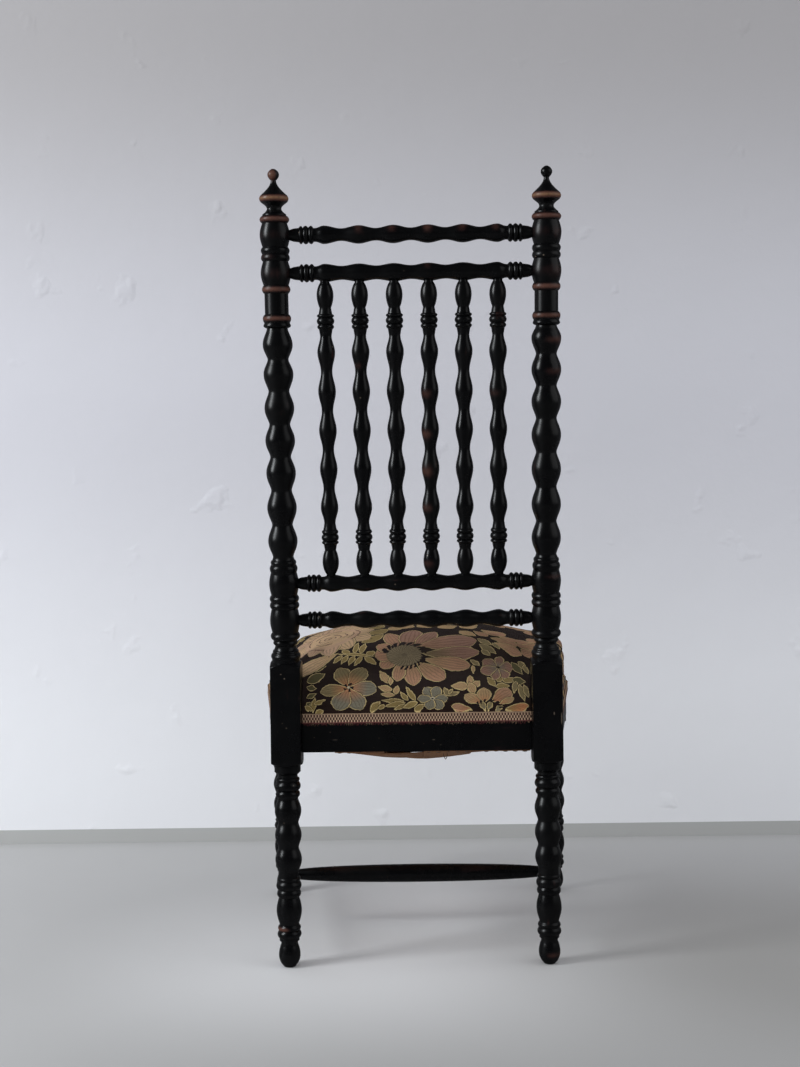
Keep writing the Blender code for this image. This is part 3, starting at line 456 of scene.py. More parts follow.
# Leaves: colour, then the foot, tip and width of each
LEAVES = (
    # gold spray over the open flower
    ("gold", (105, 108, 47, 114, 7), (56, 110, 43, 90, 9), (65, 110, 55, 88, 9)),
    ("gold", (75, 108, 66, 86, 9), (86, 106, 75, 85, 9), (90, 106, 108, 87, 12)),
    ("gold", (93, 110, 105, 121, 13), (83, 113, 90, 146, 10), (74, 114, 78, 148, 9)),
    ("gold", (67, 114, 54, 124, 12)),
    # leaves between rose and large flower
    ("gold", (84, 147, 117, 183, 21), (94, 183, 123, 213, 26), (91, 213, 112, 246, 25)),
    # leaves along the top
    ("beige", (125, 206, 144, 234, 23), (134, 240, 164, 228, 41), (169, 225, 197, 246, 34)),
    ("beige", (201, 216, 235, 240, 34), (234, 196, 261, 170, 24), (241, 225, 269, 243, 33)),
    # olive leaves at the far left
    ("dim", (5, 53, 33, 69, 17), (5, 75, 33, 85, 16), (5, 45, 21, 42, 11), (6, 26, 21, 34, 10)),
    ("dim", (6, 12, 13, 17, 7)),
    # bud at the lower left
    ("gold", (16, 1, 19, 27, 9), (17, 12, 35, 22, 8), (19, 0, 33, 3, 7), (15, 3, 3, 11, 9)),
    # lobed sprig left of the middle
    ("beige", (126, 49, 113, 74, 13), (129, 46, 129, 61, 7), (131, 38, 110, 44, 11)),
    ("beige", (135, 29, 114, 31, 10), (136, 30, 139, 46, 9)),
    # fern
    ("gold", (165, 17, 151, 44, 9), (154, 17, 143, 36, 8), (149, 17, 115, 19, 9)),
    ("gold", (150, 14, 120, 9, 9), (153, 11, 133, 3, 8), (168, 15, 146, 5, 10)),
    ("gold", (100, 1, 114, 17, 12), (112, 3, 120, 12, 8), (163, 1, 178, 11, 10)),
    # leaves right of the small flower
    ("olive", (214, 26, 206, 42, 9), (212, 27, 229, 34, 8), (212, 31, 220, 39, 6)),
    # lobed sprig right of the middle
    ("beige", (244, 43, 216, 44, 15), (245, 43, 245, 64, 11), (248, 40, 259, 53, 11)),
    ("beige", (250, 31, 243, 50, 14), (250, 85, 250, 66, 6)),
    ("olive", (247, 97, 261, 83, 9)),
    # branch right of the middle
    ("gold", (281, 43, 270, 60, 10), (281, 43, 303, 43, 12), (284, 50, 293, 61, 9)),
    ("gold", (292, 52, 315, 56, 11)),
    # leaves under the long petals
    ("olive", (261, 158, 282, 134, 16), (262, 137, 287, 110, 16), (264, 121, 277, 106, 11)),
    ("olive", (284, 143, 294, 122, 10)),
    # olive leaves at the right
    ("dim", (310, 93, 325, 65, 15)),
    ("olive", (323, 95, 335, 76, 14), (331, 88, 336, 66, 10)),
    ("dim", (306, 55, 328, 49, 14)),
    ("olive", (313, 52, 308, 31, 10), (317, 47, 324, 14, 10), (324, 45, 331, 22, 9)),
)
# Centre, half width and height, inner and outer reach and colour. Then, where a ring is broken
# into strokes or open at one side: strokes, the way it faces, and how far round it goes.
WHOLE_RING = (0, 0, -2)
ROSE_DISCS = (
    (16, 198, 56, 70, 0.00, 1.00, "blush"),
    (16, 198, 56, 70, 0.96, 1.00, "fold", 3, 0, -2),
    (15, 198, 46, 58, 0.00, 1.00, "sand"),
    (15, 200, 45, 54, 0.95, 1.00, "fold", 4, 0, -2),
    (14, 202, 33, 40, 0.93, 1.00, "fold", 3, 0, -2),
    (13, 204, 22, 27, 0.90, 1.00, "fold", 2, 0, -2),
    (13, 205, 12, 15, 0.82, 1.00, "fold"),
    (13, 205, 4, 5, 0.00, 1.00, "fold"),
)
DISCS = (
    (149, 111, 27, 28, 0.00, 1.00, "middle"),
    (149, 111, 27, 28, 0.16, 0.97, "middle_light", 33, 0, -2),
    (149, 111, 25, 27, 0.98, 1.32, "dark", 27, 35, -0.72),
    (149, 111, 25, 27, 1.06, 1.44, "dark", 17, 100, 0.30),
    (68, 43, 8, 8, 0.28, 0.96, "dark", 5, 0, -2),
    (68, 43, 1, 1, 0.0, 1.9, "cream"),
    (190, 22, 1, 1, 0.0, 3.4, "cream"),
    (190, 22, 1, 1, 0.0, 1.9, "dark"),
    (287, 81, 1, 1, 0.0, 2.4, "dark"),
    (270, -2, 19, 17, 0.92, 1.28, "dark", 22, 80, 0.05),
)

# Small things
TACKS_ACROSS = 5
TACK_SPREAD = 0.4
TACK_RADIUS = 0.0042
TACK_RISE = 0.0016
TACK_FROM_EDGE = 0.0115
TACK_STAGGER = 0.004
STAPLE_PLACE = (-0.0416, 0.100)
STAPLE_RADIUS = 0.00055
# The staple's wire from leg to leg: across, and down from the webbing
STAPLE_SHAPE = (
    (-0.0032, -0.0012),
    (-0.0028, 0.0036),
    (-0.0012, 0.0082),
    (0.0000, 0.0096),
    (0.0011, 0.0082),
    (0.0027, 0.0036),
    (0.0030, -0.0012),
)
BRAID_THREADS = 260
BRAID_THREAD_RADIUS = 0.00026
TORN_FROM_BLOCK = 0.002
TORN_START = 0.0006
TORN_SHORTEST = 0.0016
TORN_LONGER = 0.0036
TORN_LEAN = 0.0012
FIBRE_RADIUS = 0.00022
THREAD_STEPS = 5
# Place in plan, length and lean of each loose fibre under the rear rail
FIBRES = (
    (0.1789, 0.1570, 0.0035, 0.0008),
    (0.0812, 0.1560, 0.0050, -0.0012),
    (0.0553, 0.1560, 0.0042, 0.0010),
    (0.0452, 0.1560, 0.0030, -0.0006),
    (-0.1762, 0.1570, 0.0036, 0.0005),
    (0.0300, 0.1000, 0.0060, 0.0020),
    (-0.0100, 0.1100, 0.0045, -0.0020),
)

# Camera, room and lamps
CAMERA_PLACE = (-0.0108, 2.0793, 0.6219)
CAMERA_LENS = 44.9
CAMERA_SENSOR = 36.0
CAMERA_SHIFT = -0.0207
CAMERA_ROLL = math.radians(-0.70)
WALL_Y = -0.63
SKIRTING_HEIGHT = 0.028
# Lamps: name, place, aim, size, power and colour
LAMPS = (
    ("window", (2.5, 1.1, 1.75), (0.0, 0.0, 0.65), (0.8, 1.7), 42.0, (0.93, 0.97, 1.0)),
    ("far_wall", (-2.4, 0.9, 1.7), (0.0, 0.0, 0.5), (2.6, 2.4), 9.0, (0.97, 0.98, 1.0)),
)
# Painted light and shade on the floor: a pale pool of light under the chair, a painted shadow to the
# chair's right, and painted shade darkening the floor towards the camera. Each: middle, where one fades
# out, where it is full, and its colour
FLOOR_PAINTED_LIGHT_AND_SHADE = (
    ((0.0, 0.1, 0.0), 0.60, 0.10, (236, 235, 235)),
    ((-0.62, 0.2, 0.0), 0.70, 0.10, (172, 170, 167)),
    ((0.0, 1.1, 0.0), 0.95, 0.30, (170, 169, 167)),
)
STAGE_REACH = 4
ROOM_LIGHT = 0.67
ROOM_GLOSS = 0.03
STAGE_IN_GLOSS = 0.2

CHAIR_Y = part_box("rear_post_left")[0].y + STOCK / 2


# Shader nodes

def shade(red, green, blue):
    """A colour named in screen values, as the linear colour that a shader takes."""
    linear = []
    for value in (red, green, blue):
        share = value / 255
        linear.append(share / 12.92 if share < 0.04045 else ((share + 0.055) / 1.055) ** 2.4)
    return (*linear, 1.0)


class Nodes:
    """A node tree that grows by one wired node a call. Each call returns the node's output."""

    def __init__(self, tree):
        self.tree = tree

    def add(self, kind, inputs=(), output=0, **settings):
        node = self.tree.nodes.new(kind)
        for name, value in settings.items():
            setattr(node, name, value)
        for socket, value in dict(inputs).items():
            self.feed(node.inputs[socket], value)
        return node.outputs[output]

    def feed(self, socket, value):
        if isinstance(value, bpy.types.NodeSocket):
            self.tree.links.new(value, socket)
        else:
            socket.default_value = value

    def math(self, operation, *values):
        return self.add("ShaderNodeMath", dict(enumerate(values)), operation=operation)

    def times(self, first, second):
        return self.math("MULTIPLY", first, second)

    def weighted(self, value, weight, base):
        """The value times its weight, on top of a base."""
        return self.math("MULTIPLY_ADD", value, weight, base)

    def vector(self, operation, *values, output=0):
        inputs = dict(enumerate(values))
        return self.add("ShaderNodeVectorMath", inputs, output, operation=operation)

    def mix(self, share, first, second):
        return self.add("ShaderNodeMix", {0: share, 6: first, 7: second}, 2, data_type="RGBA")

    def ramp(self, value, low, high, start=0.0, end=1.0):
        """The value's place between low and high, eased at both ends."""
        inputs = {"Value": value, "From Min": low, "From Max": high, "To Min": start, "To Max": end}
        return self.add("ShaderNodeMapRange", inputs, interpolation_type="SMOOTHSTEP")

    def noise(self, place, scale, detail=2.0, roughness=0.5, stretch=None):
        if stretch:
            place = self.vector("MULTIPLY", place, stretch)
        inputs = {"Vector": place, "Scale": scale, "Detail": detail, "Roughness": roughness}
        return self.add("ShaderNodeTexNoise", inputs)

    def split(self, vector):
        """The X, Y and Z outputs of a vector."""
        node = self.tree.nodes.new("ShaderNodeSeparateXYZ")
        self.feed(node.inputs[0], vector)
        return node.outputs

    def position(self):
        return self.add("ShaderNodeTexCoord", output="Object")

    def attribute(self, name, output="Fac"):
        return self.add("ShaderNodeAttribute", output=output, attribute_name=name)


class Finish(Nodes):
    """A material, with its Principled shader fed from nodes."""

    def __init__(self, name):
        self.material = bpy.data.materials.new(name)
        self.material.use_nodes = True
        super().__init__(self.material.node_tree)
        self.shader = self.tree.nodes["Principled BSDF"]

    def surface(self, colour, roughness, height=None, depth=0.0, specular=0.5):
        self.feed(self.shader.inputs["Base Color"], colour)
        self.feed(self.shader.inputs["Roughness"], roughness)
        self.shader.inputs["Specular IOR Level"].default_value = specular
        if height is not None:
            inputs = {"Height": height, "Distance": depth, "Strength": 1.0}
            normal = self.add("ShaderNodeBump", inputs)
            self.feed(self.shader.inputs["Normal"], normal)
        return self.material


def wood_finish(name, turned_work):
    """Black finish over brown wood, rubbed through on the crowns and chipped here and there."""
    look = Finish(name)
    world = look.position()
    if turned_work:
        place = look.attribute("turning", "Vector")
        crown = look.attribute("crown")
        worn = look.attribute("worn")
        along = (1.0, 1.0, 0.16)
    else:
        place = world
        crown = 0.0
        worn = 0.0
        along = (0.16, 1.0, 1.0)
    seed = look.add("ShaderNodeObjectInfo", output="Random")
    place = look.vector("ADD", place, look.times(seed, 7.0))
    cloud = look.noise(place, 26.0, 3.0)
    patch = look.noise(place, 110.0, 4.0, 0.6, along)
    grain = look.noise(place, 900.0, 3.0, 0.6, along)
    fine = look.noise(place, 1500.0, 2.0)
    scratch = look.noise(place, 420.0, 1.0, 0.5, (1.0, 0.12, 1.0) if turned_work else along)
    black = look.mix(cloud, shade(4, 4, 6), shade(9, 9, 11))
    black = look.mix(look.ramp(grain, 0.58, 0.80, 0.0, 0.5), black, shade(20, 19, 19))
    wood = look.mix(look.ramp(worn, 0.22, 0.60), shade(58, 28, 25), shade(96, 60, 48))
    wood = look.mix(look.ramp(worn, 0.60, 0.95), wood, shade(134, 98, 70))
    wood = look.mix(look.ramp(grain, 0.50, 0.70, 0.0, 0.5), wood, shade(42, 26, 22))
    thin = look.weighted(crown, 0.10, patch)
    thin = look.weighted(cloud, 0.6, thin)
    rubbed = look.ramp(thin, 1.00, 1.16, 0.0, 0.55)
    band = look.weighted(patch, 0.36, worn)
    band = look.weighted(cloud, 0.24, band)
    band = look.weighted(fine, 0.10, band)
    band = look.ramp(band, 0.46, 1.02, 0.0, 0.97)
    bare = look.math("MAXIMUM", rubbed, band)
    colour = look.mix(bare, black, wood)
    spot = look.add("ShaderNodeTexVoronoi", {"Vector": place, "Scale": 75.0}, "Distance")
    chance = look.noise(place, 30.0, 0.0)
    chip = look.times(look.ramp(spot, 0.10, 0.06), look.ramp(chance, 0.68, 0.72))
    for x, y, z, wide, high in SPECKS:
        away = look.vector("SUBTRACT", world, (x, y, z))
        away = look.vector("MULTIPLY", away, (1 / wide, 500.0, 1 / high))
        away = look.vector("LENGTH", away, output="Value")
        away = look.weighted(fine, 0.8, away)
        chip = look.math("MAXIMUM", chip, look.ramp(away, 1.35, 1.0, 0.0, 0.7))
    colour = look.mix(chip, colour, shade(104, 92, 80))
    line = look.times(look.ramp(scratch, 0.75, 0.82), look.ramp(cloud, 0.48, 0.62, 0.0, 0.5))
    colour = look.mix(line, colour, shade(70, 64, 60))
    dust = look.ramp(crown, -0.3, -1.1, 0.0, 0.035)
    colour = look.mix(dust, colour, shade(78, 76, 70))
    roughness = look.ramp(cloud, 0.3, 0.7, 0.20, 0.30)
    roughness = look.weighted(bare, 0.10, roughness)
    roughness = look.weighted(fine, 0.08, roughness)
    height = look.weighted(grain, 0.35, look.times(patch, 0.5))
    height = look.math("SUBTRACT", height, look.times(chip, 1.2))
    height = look.math("SUBTRACT", height, look.times(bare, 0.3))
    return look.surface(colour, roughness, height, 0.00009, 0.42)


# Pieces

def piece_of(name, points, faces, material, slot, replaced=(), sharp=50.0):
    mesh = bpy.data.meshes.new(name)
    mesh.from_pydata([tuple(point) for point in points], [], faces)
    mesh.validate()
    mesh.materials.append(material)
    mesh.shade_smooth()
    mesh.set_sharp_from_angle(angle=math.radians(sharp))
    made = bpy.data.objects.new(name, mesh)
    bpy.context.scene.collection.objects.link(made)
    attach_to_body(made, "root")
    if replaced:
        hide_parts(*replaced)
    return made


def attach(made, name, values):
    """Stores one number or one vector a point, for the material to read."""
    values = np.asarray(values, np.float32)
    kind, field = ("FLOAT", "value") if values.ndim == 1 else ("FLOAT_VECTOR", "vector")
    layer = made.data.attributes.new(name, kind, "POINT")
    layer.data.foreach_set(field, values.ravel())


def tube_faces(rings, sides):
    """The faces of a tube of closed rings of points, one ring after another, with both its ends."""
    faces = [tuple(reversed(range(sides)))]
    for ring in range(rings - 1):
        for k in range(sides):
            a, b = ring * sides + k, ring * sides + (k + 1) % sides
            faces.append((a, b, b + sides, a + sides))
    return [*faces, tuple(range((rings - 1) * sides, rings * sides))]


def thread_parts(route, radius, sides):
    """A round wire or thread through the points of its route."""
    points = []
    for k, point in enumerate(route):
        ahead = route[min(k + 1, len(route) - 1)] - route[max(k - 1, 0)]
        turn = ahead.to_track_quat("Z", "Y").to_matrix()
        for n in range(sides):
            around = math.tau * n / sides
            points.append(point + turn @ Vector((math.cos(around), math.sin(around), 0)) * radius)
    return points, tube_faces(len(route), sides)


# Turned outlines, as lists of (distance, radius)

def shape_share(shape, along):
    if shape == "swell":
        return math.sin(math.pi / 2 * along**BOBBIN_FULLNESS) ** 2
    if shape == "wave":
        return math.sin(math.pi / 2 * along) ** 2
    if shape == "scoop":
        return math.sin(math.pi * along / 2)
    if shape in ("bead", "ring", "ball"):
        return math.sin(math.pi * along) ** 0.8
    return math.sin(math.pi * along)


def add_shape(outline, shape, length, middle, end):
    start, first = outline[-1]
    last = end / 2
    steps = STEPS[shape]
    for k in range(1, steps + 1):
        along = k / steps
        straight = first + (last - first) * along
        if shape == "taper":
            radius = straight
        elif shape == "swell" and last < first:
            radius = last + (first - last) * shape_share(shape, 1 - along)
        elif middle is None:
            radius = first + (last - first) * shape_share(shape, along)
        else:
            radius = straight + (middle / 2 - straight) * shape_share(shape, along)
        outline.append((start + length * along, radius))


def add_rows(outline, rows):
    """Adds each row's shape, and returns the distance to the middle of each barrel."""
    barrels = []
    for shape, length, middle, end in rows:
        if shape == "barrel":
            barrels.append(outline[-1][0] + length / 2)
        add_shape(outline, shape, length, middle, end)
    return barrels


def leg_outline():
    """From the floor to the block's shoulder. The foot's own edge is eased by wear."""
    outline = list(FOOT_EDGE)
    (shape, length, *widths), *rows = LEG_FOOT
    vase = add_rows(outline, [(shape, length - FOOT_EDGE[-1][0], *widths), *rows])[0]
    for _ in range(LEG_BOBBIN_COUNT):
        add_shape(outline, "swell", LEG_BOBBIN_PITCH / 2, None, LEG_BOBBIN)
        add_shape(outline, "swell", LEG_BOBBIN_PITCH / 2, None, LEG_WAIST)
    add_rows(outline, LEG_COLLAR)
    return outline, vase


CORNER = STOCK / math.sqrt(2)
LEG, VASE_HEIGHT = leg_outline()
BLOCK_FOOT = LEG[-1][0]
BLOCK_TOP = BLOCK_FOOT + BLOCK_LENGTH
BEND = BLOCK_TOP - BEND_BELOW_BLOCK_TOP
RAIL_BOTTOM = BLOCK_FOOT + RAIL_ABOVE_BLOCK_FOOT
RAIL_TOP = RAIL_BOTTOM + RAIL_HEIGHT
REAR_OPENING = CHAIR_Y + REAR_RAIL_FACE - RAIL_THICKNESS
FRONT_OPENING = CHAIR_Y - LEG_DEPTH - STOCK / 2 + RAIL_THICKNESS


def add_lower_pommel(outline):
    start, first = outline[-1]
    steps = STEPS["scoop"]
    for k in range(1, steps + 1):
        share = math.sin(math.pi / 2 * k / steps)
        outline.append((start + POMMEL_LENGTH * k / steps, first + (CORNER - first) * share))


def add_upper_pommel(outline, top, radius):
    steps = STEPS["scoop"]
    outline.append((top - POMMEL_LENGTH, CORNER))
    for k in range(1, steps + 1):
        share = 1 - math.cos(math.pi / 2 * k / steps)
        distance = top - POMMEL_LENGTH * (1 - k / steps)
        outline.append((distance, CORNER + (radius - CORNER) * share))


def post_outline(side):
    """The rear post from the floor to the ball, and the distance up to each of its rails."""
    outline = list(LEG)
    add_lower_pommel(outline)
    for k in range(1, BLOCK_STEPS):
        outline.append((outline[-1][0] + (BEND - outline[-1][0]) / (BLOCK_STEPS - k), CORNER))
    outline.append((BEND, CORNER))
    add_upper_pommel(outline, BLOCK_TOP, POST_BASE[0][3] / 2)
    lower = add_rows(outline, POST_BASE)
    start = outline[-1][0]
    add_shape(outline, "taper", POST_LEAD_IN, None, POST_WAIST)
    even = start + POST_LEAD_IN + POST_FIRST_RISE
    crowns = [even + k * POST_BOBBIN_PITCH + slip for k, slip in enumerate(BOBBIN_SLIP[side])]
    end = start + POST_BOBBIN_COUNT * POST_BOBBIN_PITCH
    waists = [(low + high) / 2 for low, high in zip(crowns, crowns[1:])] + [end]
    for crown, waist in zip(crowns, waists):
        add_shape(outline, "swell", crown - outline[-1][0], None, POST_BOBBIN)
        add_shape(outline, "swell", waist - crown, None, POST_WAIST)
    upper = add_rows(outline, POST_HEAD)
    return outline, lower + upper


def mirrored(half):
    return [(-distance, radius) for distance, radius in reversed(half[1:])] + half


def back_rail_outline(waist):
    to_neck = REAR_X - RAIL_END_GROUP
    pitch = to_neck / (SPINDLE_COUNT / 2 - RAIL_LAST_FALL)
    half = [(0.0, waist / 2)]
    add_shape(half, "wave", pitch / 2, None, RAIL_BUMP)
    for _ in range(SPINDLE_COUNT // 2 - 1):
        add_shape(half, "wave", pitch / 2, None, waist)
        add_shape(half, "wave", pitch / 2, None, RAIL_BUMP)
    add_shape(half, "wave", to_neck - half[-1][0], None, RAIL_NECK)
    add_rows(half, RAIL_RINGS)
    half.append((REAR_X, RAIL_TENON / 2))
    return mirrored(half), pitch


def spindle_outline(between_rails):
    zone = between_rails / 2 - SPINDLE_END_GROUP
    fall = zone / (2 * SPINDLE_SIDE_BUMPS + SPINDLE_LAST_FALL)
    half = [(0.0, SPINDLE_BUMP / 2)]
    for _ in range(SPINDLE_SIDE_BUMPS):
        add_shape(half, "wave", fall, None, SPINDLE_WAIST)
        add_shape(half, "wave", fall, None, SPINDLE_BUMP)
    add_shape(half, "wave", zone - half[-1][0], None, SPINDLE_WAIST)
    add_rows(half, SPINDLE_RINGS)
    half.append((between_rails / 2 - SPINDLE_PIN_STOP, SPINDLE_PIN / 2))
    return mirrored(half)


def stretcher_outline(length, shoulder):
    """A lens shaved down from its middle, whose ends run into the pieces that carry it."""
    reach = length / 2 - STRETCHER_LENS_STOP
    half = [(0.0, STRETCHER_MIDDLE / 2)]
    steps = STEPS["lens"]
    for k in range(1, steps + 1):
        share = math.sin(math.pi / 2 * k / steps)
        swell = math.sqrt(max(0.0, 1 - share**2))
        half.append((reach * share, (shoulder + (STRETCHER_MIDDLE - shoulder) * swell) / 2))
    half.append((length / 2 - STRETCHER_STOP, shoulder / 2))
    return mirrored(half)


# Turned pieces

def crown_of(outline):
    """How far each point stands out beyond the piece around it: 1 on a full crown, -1 in a groove."""
    distance, radius = np.array(outline).T
    even = np.arange(distance[0], distance[-1], RELIEF_STEP)
    level = np.interp(even, distance, np.minimum(radius, STOCK / 2))
    padded = np.pad(level, RELIEF_REACH, mode="edge")
    span = 2 * RELIEF_REACH + 1
    around = np.convolve(padded, np.ones(span) / span, "valid")
    return np.clip(np.interp(distance, even, level - around) / FULL_RELIEF, -1.5, 1.5)


def worn_of(name, outline, sides):
    """How far the finish is rubbed away at each point of a turned piece, ring by ring."""
    distance = np.array(outline)[:, 0][:, None]
    angle = np.arange(sides) * math.tau / sides
    total = np.zeros((len(outline), sides))
    bands = [band for start, rows in WORN_BANDS.items() if name.startswith(start) for band in rows]
    for middle, half, strength, *facing in bands:
        band = strength * np.exp(-(((distance - middle) / half) ** 2))
        if facing:
            turn = (angle - math.radians(facing[0]) + math.pi) % math.tau - math.pi
            band = band * np.exp(-((turn / WORN_ARC) ** 4))
        total = np.maximum(total, band)
    return total.ravel()


def turned_piece(node, outline, frame_at, sides, material, square=None):
    """Turns an outline round its axis. Square stock limits it to the stock's faces, a little eased."""
    points, places = [], []
    for distance, radius in outline:
        frame_here = frame_at(distance)
        for k in range(sides):
            angle = 2 * math.pi * k / sides
            reach = radius
            if square:
                flat = square / 2 / max(abs(math.cos(angle)), abs(math.sin(angle)))
                reach = min(reach, flat, CORNER - CORNER_EASE)
            local = Vector((reach * math.cos(angle), reach * math.sin(angle), 0.0))
            points.append(frame_here @ local)
            places.append((local.x, local.y, distance))
    faces = tube_faces(len(outline), sides)
    name = f"{node}_turning"
    made = piece_of(name, points, faces, material, "ebonised_wood", (node,), TURNED_SHARP)
    attach(made, "turning", places)
    attach(made, "crown", np.repeat(crown_of(outline), sides))
    attach(made, "worn", worn_of(node, outline, sides))
    return made


def straight_frame(start, end):
    turn = (end - start).to_track_quat("Z", "Y").to_matrix().to_4x4()
    middle = Matrix.Translation((start + end) / 2) @ turn

    def frame_at(distance):
        return middle @ Matrix.Translation((0, 0, distance))

    return frame_at


def post_frame(x):
    def frame_at(distance):
        beyond = distance - BEND
        ease = min(max(beyond / BEND_EASE + 0.5, 0.0), 1.0)
        rise = max(beyond, 0.0)
        y = CHAIR_Y + rise * math.sin(BACK_RAKE)
        z = min(distance, BEND) + rise * math.cos(BACK_RAKE)
        return Matrix.Translation((x, y, z)) @ Matrix.Rotation(-BACK_RAKE * ease, 4, "X")

    return frame_at


def back_point(x, distance):
    return post_frame(x)(distance).translation


def leg_frame(x):
    def frame_at(distance):
        return Matrix.Translation((x, CHAIR_Y - LEG_DEPTH, distance))

    return frame_at


def make_turnings(wood):
    for node, side in (("rear_post_left", 1), ("rear_post_right", -1)):
        outline, heights = post_outline(node.rsplit("_", 1)[1])
        turned_piece(node, outline, post_frame(side * REAR_X), POST_SIDES, wood, STOCK)
    leg = list(LEG)
    add_lower_pommel(leg)
    leg.append((RAIL_TOP, CORNER))
    for node, side in (("front_leg_left", 1), ("front_leg_right", -1)):
        turned_piece(node, leg, leg_frame(side * FRONT_X), POST_SIDES, wood, STOCK)
    rails = dict(zip(RAIL_WAISTS, heights))
    for node, height in rails.items():
        outline, pitch = back_rail_outline(RAIL_WAISTS[node])
        frame_at = straight_frame(back_point(-REAR_X, height), back_point(REAR_X, height))
        turned_piece(node, outline, frame_at, RAIL_SIDES, wood)
    low, high = rails["lower_spindle_rail"], rails["upper_spindle_rail"]
    outline = spindle_outline(high - low)
    for number in range(1, SPINDLE_COUNT + 1):
        x = ((SPINDLE_COUNT + 1) / 2 - number) * pitch
        frame_at = straight_frame(back_point(x, low), back_point(x, high))
        turned_piece(f"spindle_{number}", outline, frame_at, SPINDLE_SIDES, wood)
    middles = []
    for node, side in (("side_stretcher_left", 1), ("side_stretcher_right", -1)):
        rear = Vector((side * REAR_X, CHAIR_Y, VASE_HEIGHT))
        front = Vector((side * FRONT_X, CHAIR_Y - LEG_DEPTH, VASE_HEIGHT))
        outline = stretcher_outline((front - rear).length, STRETCHER_SHOULDER)
        turned_piece(node, outline, straight_frame(rear, front), RAIL_SIDES, wood)
        middles.append((rear + front) / 2)
    outline = stretcher_outline((middles[1] - middles[0]).length, CROSS_SHOULDER)
    turned_piece("cross_stretcher", outline, straight_frame(*middles), RAIL_SIDES, wood)


def make_sawn_wood(wood):
    """The sawn seat frame, with eased edges and the same black finish."""
    for name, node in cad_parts.items():
        if name.startswith(("seat_rail", "corner_brace")):
            node.data.materials.clear()
            node.data.materials.append(wood)
            bevel = node.modifiers.new("eased_edges", "BEVEL")
            bevel.width = SAWN_EDGE
            bevel.segments = 2
            bevel.limit_method = "ANGLE"


# Room, lamps and camera

def make_room():
    floor = Finish("plain_floor")
    place = floor.position()
    cloud = floor.noise(place, 1.6, 3.0)
    colour = floor.mix(cloud, shade(192, 191, 190), shade(202, 201, 200))
    # Painted light and shade: a pale pool under the chair, a shadow beside it and darker floor towards
    # the camera
    for middle, far, near, tint in FLOOR_PAINTED_LIGHT_AND_SHADE:
        away = floor.vector("LENGTH", floor.vector("SUBTRACT", place, middle), output="Value")
        colour = floor.mix(floor.ramp(away, far, near), colour, shade(*tint))
    colour = dimmed_in_gloss(floor, colour)
    floor.surface(colour, 0.62, floor.noise(place, 14.0, 3.0), 0.0006, 0.3)
    see_through(floor)
    wall = Finish("plain_wall")
    place = wall.position()
    height = wall.split(place)["Z"]
    skirting = wall.math("LESS_THAN", height, SKIRTING_HEIGHT)
    even = wall.mix(wall.noise(place, 1.1, 2.0), shade(216, 215, 221), shade(222, 221, 227))
    # Painted light: the wall is painted paler towards the floor and darker towards the top
    colour = wall.mix(wall.ramp(height, 0.9, 0.1), even, shade(252, 252, 255))
    colour = wall.mix(wall.ramp(height, 0.9, 1.7), colour, shade(180, 177, 178))
    colour = wall.mix(skirting, colour, shade(191, 191, 189))
    colour = dimmed_in_gloss(wall, colour)
    lumps = wall.ramp(wall.noise(place, 11.0, 3.0, 0.5), 0.63, 0.76)
    relief = wall.weighted(lumps, 0.5, wall.noise(place, 5.0, 5.0, 0.55))
    wall.surface(colour, 0.9, relief, 0.004, 0.1)
    see_through(wall)
    out = STAGE_REACH
    ground = [(-out, -out, 0), (out, -out, 0), (out, out, 0), (-out, out, 0)]
    upright = [(out, WALL_Y, 0), (-out, WALL_Y, 0), (-out, WALL_Y, out), (out, WALL_Y, out)]
    for name, corners, finish in (("floor", ground, floor), ("backdrop", upright, wall)):
        mesh = bpy.data.meshes.new(name)
        mesh.from_pydata(corners, [], [(0, 1, 2, 3)])
        mesh.materials.append(finish.material)
        made = bpy.data.objects.new(name, mesh)
        bpy.context.scene.collection.objects.link(made)


def dimmed_in_gloss(finish, colour):
    """The stage shows darker in reflections, as a deep dim room would."""
    glossy = finish.add("ShaderNodeLightPath", output="Is Glossy Ray")
    share = finish.times(glossy, 1 - STAGE_IN_GLOSS)
    return finish.mix(share, colour, shade(0, 0, 0))


def see_through(finish):
    """Lets a view from behind the wall or from under the floor look through it."""
    tree = finish.tree
    clear = finish.add("ShaderNodeBsdfTransparent")
    behind = finish.add("ShaderNodeNewGeometry", output="Backfacing")
    inputs = {0: behind, 1: finish.shader.outputs[0], 2: clear}
    tree.links.new(finish.add("ShaderNodeMixShader", inputs), tree.nodes["Material Output"].inputs[0])


def make_lamps():
    for name, place, aim, size, power, colour in LAMPS:
        light = bpy.data.lights.new(name, "AREA")
        light.shape = "RECTANGLE"
        light.size, light.size_y = size
        light.energy = power
        light.color = colour
        made = bpy.data.objects.new(name, light)
        towards = Vector(aim) - Vector(place)
        turn = towards.to_track_quat("-Z", "Y").to_matrix().to_4x4()
        made.matrix_world = Matrix.Translation(place) @ turn
        bpy.context.scene.collection.objects.link(made)
    world = bpy.data.worlds.new("soft_room")
    world.use_nodes = True
    nodes = Nodes(world.node_tree)
    glossy = nodes.add("ShaderNodeLightPath", output="Is Glossy Ray")
    background = world.node_tree.nodes["Background"]
    background.inputs["Color"].default_value = (0.93, 0.96, 1.0, 1.0)
    strength = nodes.weighted(glossy, ROOM_GLOSS - ROOM_LIGHT, ROOM_LIGHT)
    nodes.feed(background.inputs["Strength"], strength)
    bpy.context.scene.world = world


